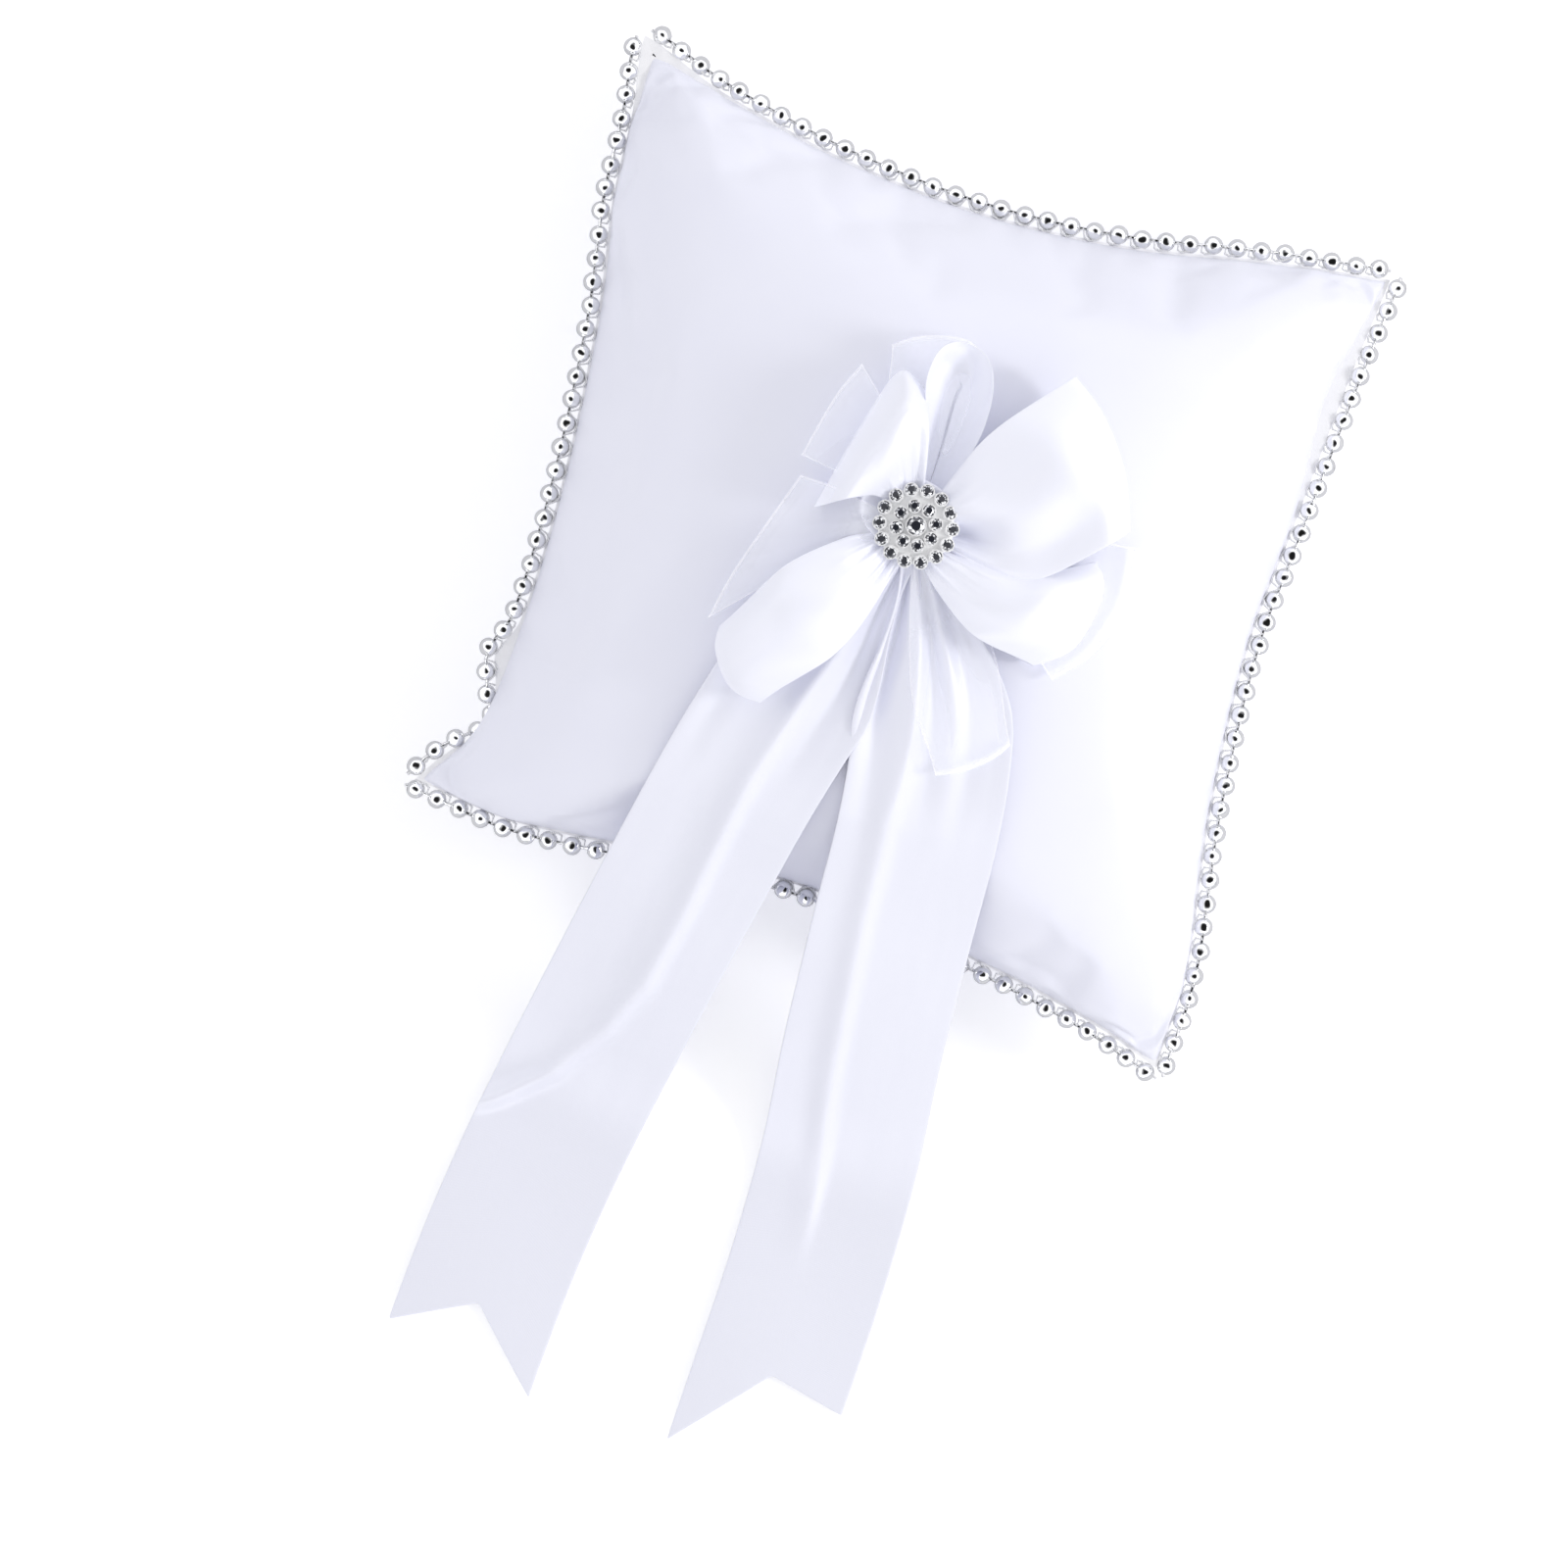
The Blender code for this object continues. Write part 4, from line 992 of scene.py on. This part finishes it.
# %% The tails' lines, in millimetres
STRAIGHT_LENGTH = 232.0
END_STARTS = 0.8
RIBBON_HALF = 20.0
HINGE = 72.0
TAILS = {
    "left": dict(line=((0.2, 0.0), (-2.0, -8.0), (-8.5, -26.0), (-14.0, -43.0), (-20.0, -67.0), (-25.0, -93.0),
                       (-30.5, -124.0), (-36.0, -158.0), (-39.5, -186.0), (-41.5, -215.0), (-42.5, -260.0)),
                 ends=(257.0, 238.5, 250.0), layer=1.6,
                 gather_line=((0, 1.0), (40, 2.2), (72, 2.5), (117, 4.3), (142, 4.0), (160, 0.5), (178, -6.5),
                              (190, -16.0), (198, -24.0)), height=3.4, fade=8),
    "right": dict(line=((2.6, 0.0), (6.0, -6.0), (15.5, -27.0), (22.0, -47.0), (25.3, -67.0), (27.3, -93.0),
                        (30.0, -124.0), (33.3, -152.0), (34.6, -183.0), (34.4, -215.0), (34.0, -260.0)),
                  ends=(237.0, 233.0, 257.0), layer=1.1,
                  gather_line=((0, 0.0), (30, -3.0), (55, -5.6), (75, -7.5), (103, -7.2), (128, -6.5),
                               (158, -5.8), (186, -4.0), (210, -3.0)), height=2.4, fade=45),
}


def lower_envelope(heights):
    """A cloth pulled over these (distance, height) places bridges the hollows between them."""
    hull = []
    for x, z in heights:
        while len(hull) > 1:
            (x1, z1), (x2, z2) = hull[-2:]
            if (z2 - z1) * (x - x2) > (z - z2) * (x2 - x1):
                break
            hull.pop()
        hull.append((x, z))
    return hull


def tail_middle(line, layer):
    """Stations down the ribbon: place, way across, half its width, height and distance."""
    flat = evenly(line, 300)
    spacing = sum((b - a).length for a, b in zip(flat, flat[1:])) / 300
    stations = []
    for i, point in enumerate(flat):
        way = (flat[min(i + 1, 300)] - flat[max(i - 1, 0)]).normalized()
        across = Vector((-way.y, way.x))
        out = i * spacing
        half = 5.0 + (RIBBON_HALF - 5.0) * ease((out - 2) / 45)
        spots = [point + across * half * k / 2 for k in range(-2, 3)]
        under = max(cover_height(*spot) for spot in spots)
        stations.append([point, across, half, under + layer if under > 0 else 0.8, out])
    seam = max(i for i, st in enumerate(stations) if st[3] > 18)
    touchdown = min(seam + round(60 / spacing), 290)
    hull = lower_envelope([(st[4], st[3]) for st in stations[:touchdown + 1]])
    for i, st in enumerate(stations[:touchdown + 1]):
        st[3] = max(st[3], float(np.interp(st[4], [x for x, _ in hull], [z for _, z in hull])))
    level = [st[3] for st in stations]
    reach = round(14 / spacing)
    for i, st in enumerate(stations):
        near = level[max(0, i - reach):i + reach + 1]
        st[3] = max(level[i], sum(near) / len(near))
    knot_rise = KNOT_TOP - 1.6
    for st in stations:
        st[3] = max(st[3], knot_rise - (knot_rise - st[3]) * ease(st[4] / 26) if st[4] < 26 else st[3])
    travelled = 0.0
    for before, st in zip(stations, stations[1:]):
        travelled += math.hypot(spacing, st[3] - before[3])
        st[4] = travelled
    return stations


def tail_piece(side, line, ends, layer, gather_line, height, fade):
    stations = tail_middle(line, layer)
    distances = [st[4] for st in stations]
    gather_at = [x for x, _ in gather_line], [y for _, y in gather_line]
    first, notch, last = ends

    def place(s, w):
        end = first + (notch - first) * 2 * w if w < 0.5 else notch + (last - notch) * (2 * w - 1)
        distance = STRAIGHT_LENGTH * s + (end - STRAIGHT_LENGTH) * ease((s - END_STARTS) / (1 - END_STARTS))
        i = max(0, min(int(np.searchsorted(distances, distance)) - 1, len(stations) - 2))
        t = (distance - distances[i]) / (distances[i + 1] - distances[i])
        point = stations[i][0].lerp(stations[i + 1][0], t)
        across = stations[i][1].lerp(stations[i + 1][1], t)
        half = stations[i][2] + (stations[i + 1][2] - stations[i][2]) * t
        z = stations[i][3] + (stations[i + 1][3] - stations[i][3]) * t
        offset = (1 - 2 * w) * half
        gather = 1 - ease((distance - 8) / 80)
        pleat = 1.5 * math.sin(2 * math.pi * 3.2 * w + 0.6) + 0.9 * math.sin(2 * math.pi * 5.1 * w + 2)
        relief = pleat * gather * ease(distance / 14)
        away = offset - float(np.interp(distance, *gather_at))
        width = 1.8 if away > 0 else 4.0
        strength = ease(distance / 25) * (1 - ease((distance - gather_at[0][-1] + fade) / fade))
        relief += height * ridge(away, width) * strength
        relief += 0.5 * math.sin(0.05 * distance + 3.0 * w) * ease((distance - 60) / 60) + 0.5
        place_2d = point + across * offset
        return (place_2d.x, place_2d.y, max(z + max(relief, -1.0) + 0.2, 0.6))

    tail = laid_grid("tail_" + side, 200, 36, place)
    apply_modifier(tail, "SOLIDIFY", thickness=0.28 * MM, offset=0)
    apply_modifier(tail, "SUBSURF", levels=1, render_levels=1)
    smooth(tail, 180)
    i = int(np.searchsorted(distances, HINGE))
    bend_point, ahead = stations[i][0], (stations[i + 2][0] - stations[i - 2][0]).normalized()
    return tail, bend_point, ahead, stations[i][3]


# %% Both tails, and the place of each one's hinge
for side, shape in TAILS.items():
    tail, bend_point, ahead, height = tail_piece(side, **shape)
    tail.data.materials.clear()
    tail.data.materials.append(ribbon_satin)
    start, end = bend_point - ahead * 9, bend_point + ahead * 9
    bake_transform(tail)
    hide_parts(side + "_tail_root", side + "_tail")
    print("tail", side, "has", len(tail.data.polygons), "faces and bends at", [round(c, 1) for c in bend_point])

# %% [markdown]
# ## The button
# A short piece of satin is wrapped over the knot to hide the thread, and the button is sewn through it
# by its shank. The button is a cast and plated dome with a cup for each stone: fourteen in the outer
# ring, eight in the next and one larger in the middle. Small claws fold over each stone's edge.

# %% The band round the knot
def band_place(s, w):
    """Round the knot by s. w goes from the inner edge up to the rim and a little down outside it."""
    angle = 2 * math.pi * s
    rise = ease(w / 0.75) - 0.35 * ease((w - 0.75) / 0.25)
    reach = 0.62 + 0.38 * ease(w / 0.8) + 0.02 * math.sin(9 * angle) * (1 - w)
    x = BOW_CENTRE.x - 2.6 + 12.2 * reach * math.cos(angle)
    y = BOW_CENTRE.y + 2.4 + 9.0 * reach * math.sin(angle)
    return (x, y, KNOT_TOP - 0.4 + 2.7 * rise + 0.15 * math.sin(5 * angle))


band = laid_grid("knot_band", 72, 14, band_place)
apply_modifier(band, "SOLIDIFY", thickness=0.3 * MM, offset=0)
outward(band)
apply_modifier(band, "SUBSURF", levels=1, render_levels=1)
smooth(band, 180)
finish_piece(band, "pillow", bow_satin_with_painted_light, "white_satin", "knot_wrap")

# %% The button's plate and shank
plate_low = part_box("button_base")[0][2] / MM
BUTTON_DIAMETER = 20.6
STONE_DIAMETER = 3.0
CENTRE_DIAMETER = 4.6
RING_PITCH = 3.95
DOME_STEP = 0.7


def button_primitive(kind, **settings):
    bpy.ops.object.select_all(action="DESELECT")
    getattr(bpy.ops.mesh, "primitive_" + kind + "_add")(**settings)
    return bpy.context.object


plate = button_primitive("cylinder", vertices=48, radius=(BUTTON_DIAMETER / 2 - 0.9) * MM, depth=0.9 * MM,
                         location=(0, 0, 0.45 * MM))
bpy.ops.object.mode_set(mode="EDIT")
bpy.ops.mesh.select_all(action="DESELECT")
bpy.ops.object.mode_set(mode="OBJECT")
for face in plate.data.polygons:
    face.select = face.normal.z > 0.9
bpy.ops.object.mode_set(mode="EDIT")
for step in range(4):
    bpy.ops.mesh.inset(thickness=1.9 * MM)
    bpy.ops.transform.translate(value=(0, 0, 0.42 * MM))
bpy.ops.object.mode_set(mode="OBJECT")
plate.name = "button_plate"
apply_modifier(plate, "BEVEL", width=0.15 * MM, segments=2, limit_method="ANGLE")
plate.location = Vector((BOW_CENTRE.x, BOW_CENTRE.y, plate_low)) * MM
settle(plate)
smooth(plate, 40)

shank = button_primitive("torus", major_radius=1.1 * MM, minor_radius=0.35 * MM, major_segments=24, minor_segments=8,
                         rotation=(math.pi / 2, 0, 0),
                         location=Vector((BOW_CENTRE.x, BOW_CENTRE.y, plate_low - 1.1)) * MM)
shank.name = "button_eye"
settle(shank)
smooth(shank)
finish_piece(shank, "pillow", button_silver, "silver_plate", "button_shank")

# %% One cup with its claws, and one cut stone, for each size
def one_cup(diameter):
    """A tube round the stone with four claws folded over its edge."""
    cup = button_primitive("cylinder", vertices=16, radius=(diameter / 2 + 0.32) * MM, depth=1.5 * MM,
                           location=(0, 0, 0.75 * MM), end_fill_type="NOTHING")
    apply_modifier(cup, "SOLIDIFY", thickness=0.3 * MM, offset=-1)
    claws = [cup]
    for i in range(4):
        turn = math.pi / 4 + i * math.pi / 2
        away = diameter / 2 - 0.02
        claw = button_primitive("uv_sphere", segments=8, ring_count=5, radius=0.36 * MM,
                                location=(away * math.cos(turn) * MM, away * math.sin(turn) * MM, 1.65 * MM))
        claws.append(claw)
    bpy.ops.object.select_all(action="DESELECT")
    for piece in claws:
        piece.select_set(True)
    bpy.context.view_layer.objects.active = cup
    bpy.ops.object.join()
    settle(cup)
    return cup


def top_face_only(piece, up):
    """Selects the faces that look straight up, or straight down, and leaves the piece in edit mode."""
    bpy.ops.object.mode_set(mode="EDIT")
    bpy.ops.mesh.select_all(action="DESELECT")
    bpy.ops.object.mode_set(mode="OBJECT")
    for face in piece.data.polygons:
        face.select = face.normal.z * up > 0.95
    bpy.ops.object.mode_set(mode="EDIT")


def one_stone(diameter):
    """A round brilliant: a girdle, two rings of crown facets turned against each other, a table, a pavilion."""
    size = diameter / 2.6
    stone = button_primitive("cylinder", vertices=12, radius=diameter / 2 * MM, depth=0.12 * MM,
                             location=(0, 0, 1.3 * MM))
    settle(stone)
    for up, grow, rise, turn in ((1, 0.8, 0.26, 15), (1, 0.66, 0.2, 15), (-1, 0.2, -0.8, 0)):
        top_face_only(stone, up)
        bpy.ops.mesh.extrude_region_move(TRANSFORM_OT_translate={"value": (0, 0, rise * size * MM)})
        bpy.ops.transform.resize(value=(grow, grow, 1))
        bpy.ops.transform.rotate(value=math.radians(turn), orient_axis="Z", center_override=(0, 0, 0))
        bpy.ops.object.mode_set(mode="OBJECT")
    apply_modifier(stone, "TRIANGULATE", min_vertices=4)
    return stone


def paint_facet_reflections(stone, rng):
    """Painted reflections: the table is painted dark, for the dark room it would reflect, and each sloping facet is
    painted bright or dark at random, as it might happen to face.
    """
    facet = stone.data.attributes.new("facet", "FLOAT", "FACE")
    for face, value in zip(stone.data.polygons, facet.data):
        if face.normal.z > 0.95:
            value.value = 0.02
        else:
            value.value = float(rng.choice((0.02, 0.1, 0.3, 0.85), p=(0.35, 0.15, 0.15, 0.35)))


def stone_places():
    """(CAD name, place on the plate, diameter)"""
    outer = (BUTTON_DIAMETER - STONE_DIAMETER) / 2 - 0.2
    places = [("centre_stone", Vector((0, 0, 0.9 + 2 * DOME_STEP)), 0.0, CENTRE_DIAMETER)]
    for prefix, count, radius, ring in (("outer_stone", 14, outer, 0), ("middle_stone", 8, outer - RING_PITCH, 1)):
        for i in range(count):
            angle = 2 * math.pi * (i + 0.5) / count
            place = Vector((radius * math.cos(angle), radius * math.sin(angle), 0.5 + ring * DOME_STEP))
            places.append((f"{prefix}_{i + 1:02d}", place, angle, STONE_DIAMETER))
    return places


masters = {size: (one_cup(size), one_stone(size)) for size in (STONE_DIAMETER, CENTRE_DIAMETER)}
cups = []
for cad_name, place, angle, size in stone_places():
    tilt = Vector((place.x * 0.035, place.y * 0.035, 1)).to_track_quat("Z", "Y")
    for master, keep in zip(masters[size], (False, True)):
        copy = master.copy()
        copy.data = master.data.copy()
        bpy.context.scene.collection.objects.link(copy)
        copy.rotation_mode = "QUATERNION"
        copy.rotation_quaternion = tilt
        copy.location = (BOW_CENTRE + place + Vector((0, 0, plate_low))) * MM
        if keep:
            copy.name = "stone_" + cad_name.replace("_stone", "")
            settle(copy)
            paint_facet_reflections(copy, rng)
            finish_piece(copy, "pillow", rhinestone, "clear_rhinestone", cad_name)
        else:
            cups.append(copy)
for cup, stone in masters.values():
    bpy.data.objects.remove(cup)
    bpy.data.objects.remove(stone)
pick(plate)
for cup in cups:
    cup.select_set(True)
bpy.ops.object.join()
settle(plate)
smooth(plate, 35)
finish_piece(plate, "pillow", button_silver, "silver_plate", "button_base")

# %% [markdown]
# ## The table, the light and the camera
# The pillow lies on a plain white table. The main light is a wide, soft one from the right. The room
# is bright all round but dark straight overhead, which is what puts a dark spot in each bead.

# %% Table
bpy.ops.object.select_all(action="DESELECT")
bpy.ops.mesh.primitive_plane_add(size=6, location=(0, 0, -0.0002))
table = bpy.context.object
table.name = "table"
table_paint, nodes, links = new_material("white_table")
shader = nodes["Principled BSDF"]
set_inputs(shader, {"Base Color": (0.93, 0.93, 0.935, 1), "Roughness": 0.9, "Emission Color": (1, 1, 1, 1),
                    "Emission Strength": 0.25})
# For glossy rays the table is given a darker colour and a weaker glow: painted darker reflections of the table in the
# shiny parts.
ray = nodes.new("ShaderNodeLightPath")
mirrored = nodes.new("ShaderNodeMix")
mirrored.data_type = "RGBA"
set_inputs(mirrored, {6: (0.93, 0.93, 0.935, 1), 7: (0.58, 0.58, 0.6, 1)})
links.new(ray.outputs["Is Glossy Ray"], mirrored.inputs["Factor"])
links.new(mirrored.outputs[2], shader.inputs["Base Color"])
glow_dimmed_in_reflections = nodes.new("ShaderNodeMix")
glow_dimmed_in_reflections.data_type = "RGBA"
set_inputs(glow_dimmed_in_reflections, {6: (1, 1, 1, 1), 7: (0.5, 0.5, 0.5, 1)})
links.new(ray.outputs["Is Glossy Ray"], glow_dimmed_in_reflections.inputs["Factor"])
links.new(glow_dimmed_in_reflections.outputs[2], shader.inputs["Emission Color"])
table.data.materials.append(table_paint)

# %% Light
world = bpy.data.worlds.new("bright_room")
world.use_nodes = True
bpy.context.scene.world = world
nodes, links = world.node_tree.nodes, world.node_tree.links
around = nodes.new("ShaderNodeTexCoord")
split = nodes.new("ShaderNodeSeparateXYZ")
fall = nodes.new("ShaderNodeValToRGB")
fall.color_ramp.elements[0].position = 0.0
fall.color_ramp.elements[0].color = (0.55, 0.56, 0.6, 1)
fall.color_ramp.elements[1].position = 0.3
fall.color_ramp.elements[1].color = (1.7, 1.7, 1.75, 1)
for position, tone in ((0.7, 1.9), (0.84, 0.35), (0.9, 0.015)):
    fall.color_ramp.elements.new(position).color = (tone, tone, tone * 1.02, 1)
mirrored = nodes.new("ShaderNodeLightPath")
seen = nodes.new("ShaderNodeMix")
seen.data_type = "RGBA"
seen.inputs["A"].default_value = (0.985, 0.985, 1.0, 1)
links.new(around.outputs["Generated"], split.inputs["Vector"])
links.new(split.outputs["Z"], fall.inputs["Fac"])
links.new(mirrored.outputs["Is Glossy Ray"], seen.inputs["Factor"])
links.new(fall.outputs["Color"], seen.inputs["B"])
links.new(seen.outputs["Result"], nodes["Background"].inputs["Color"])
nodes["Background"].inputs["Strength"].default_value = 0.86


def soft_light(name, place, size, power, tone):
    data = bpy.data.lights.new(name, "AREA")
    data.shape = "DISK"
    data.size = size
    data.energy = power
    data.color = tone
    light = bpy.data.objects.new(name, data)
    bpy.context.scene.collection.objects.link(light)
    light.location = place
    light.rotation_euler = (Vector((0, -0.05, 0.03)) - Vector(place)).to_track_quat("-Z", "Y").to_euler()


soft_light("key", (1.23, 0.2, 0.8), 0.38, 6.2, (1.0, 0.99, 0.97))

# %% Camera
VIEW_WIDTH = 0.3883
TURN = math.radians(18.33)
lens = bpy.data.cameras.new("camera")
lens.lens = 250
lens.sensor_width = 36
camera = bpy.data.objects.new("camera", lens)
bpy.context.scene.collection.objects.link(camera)
camera.location = (-0.0096, -0.0665, 0.05 + VIEW_WIDTH * lens.lens / lens.sensor_width)
camera.rotation_euler = (0, 0, TURN)
lens.clip_end = 20
bpy.context.scene.camera = camera
bpy.context.scene.view_settings.view_transform = "Standard"
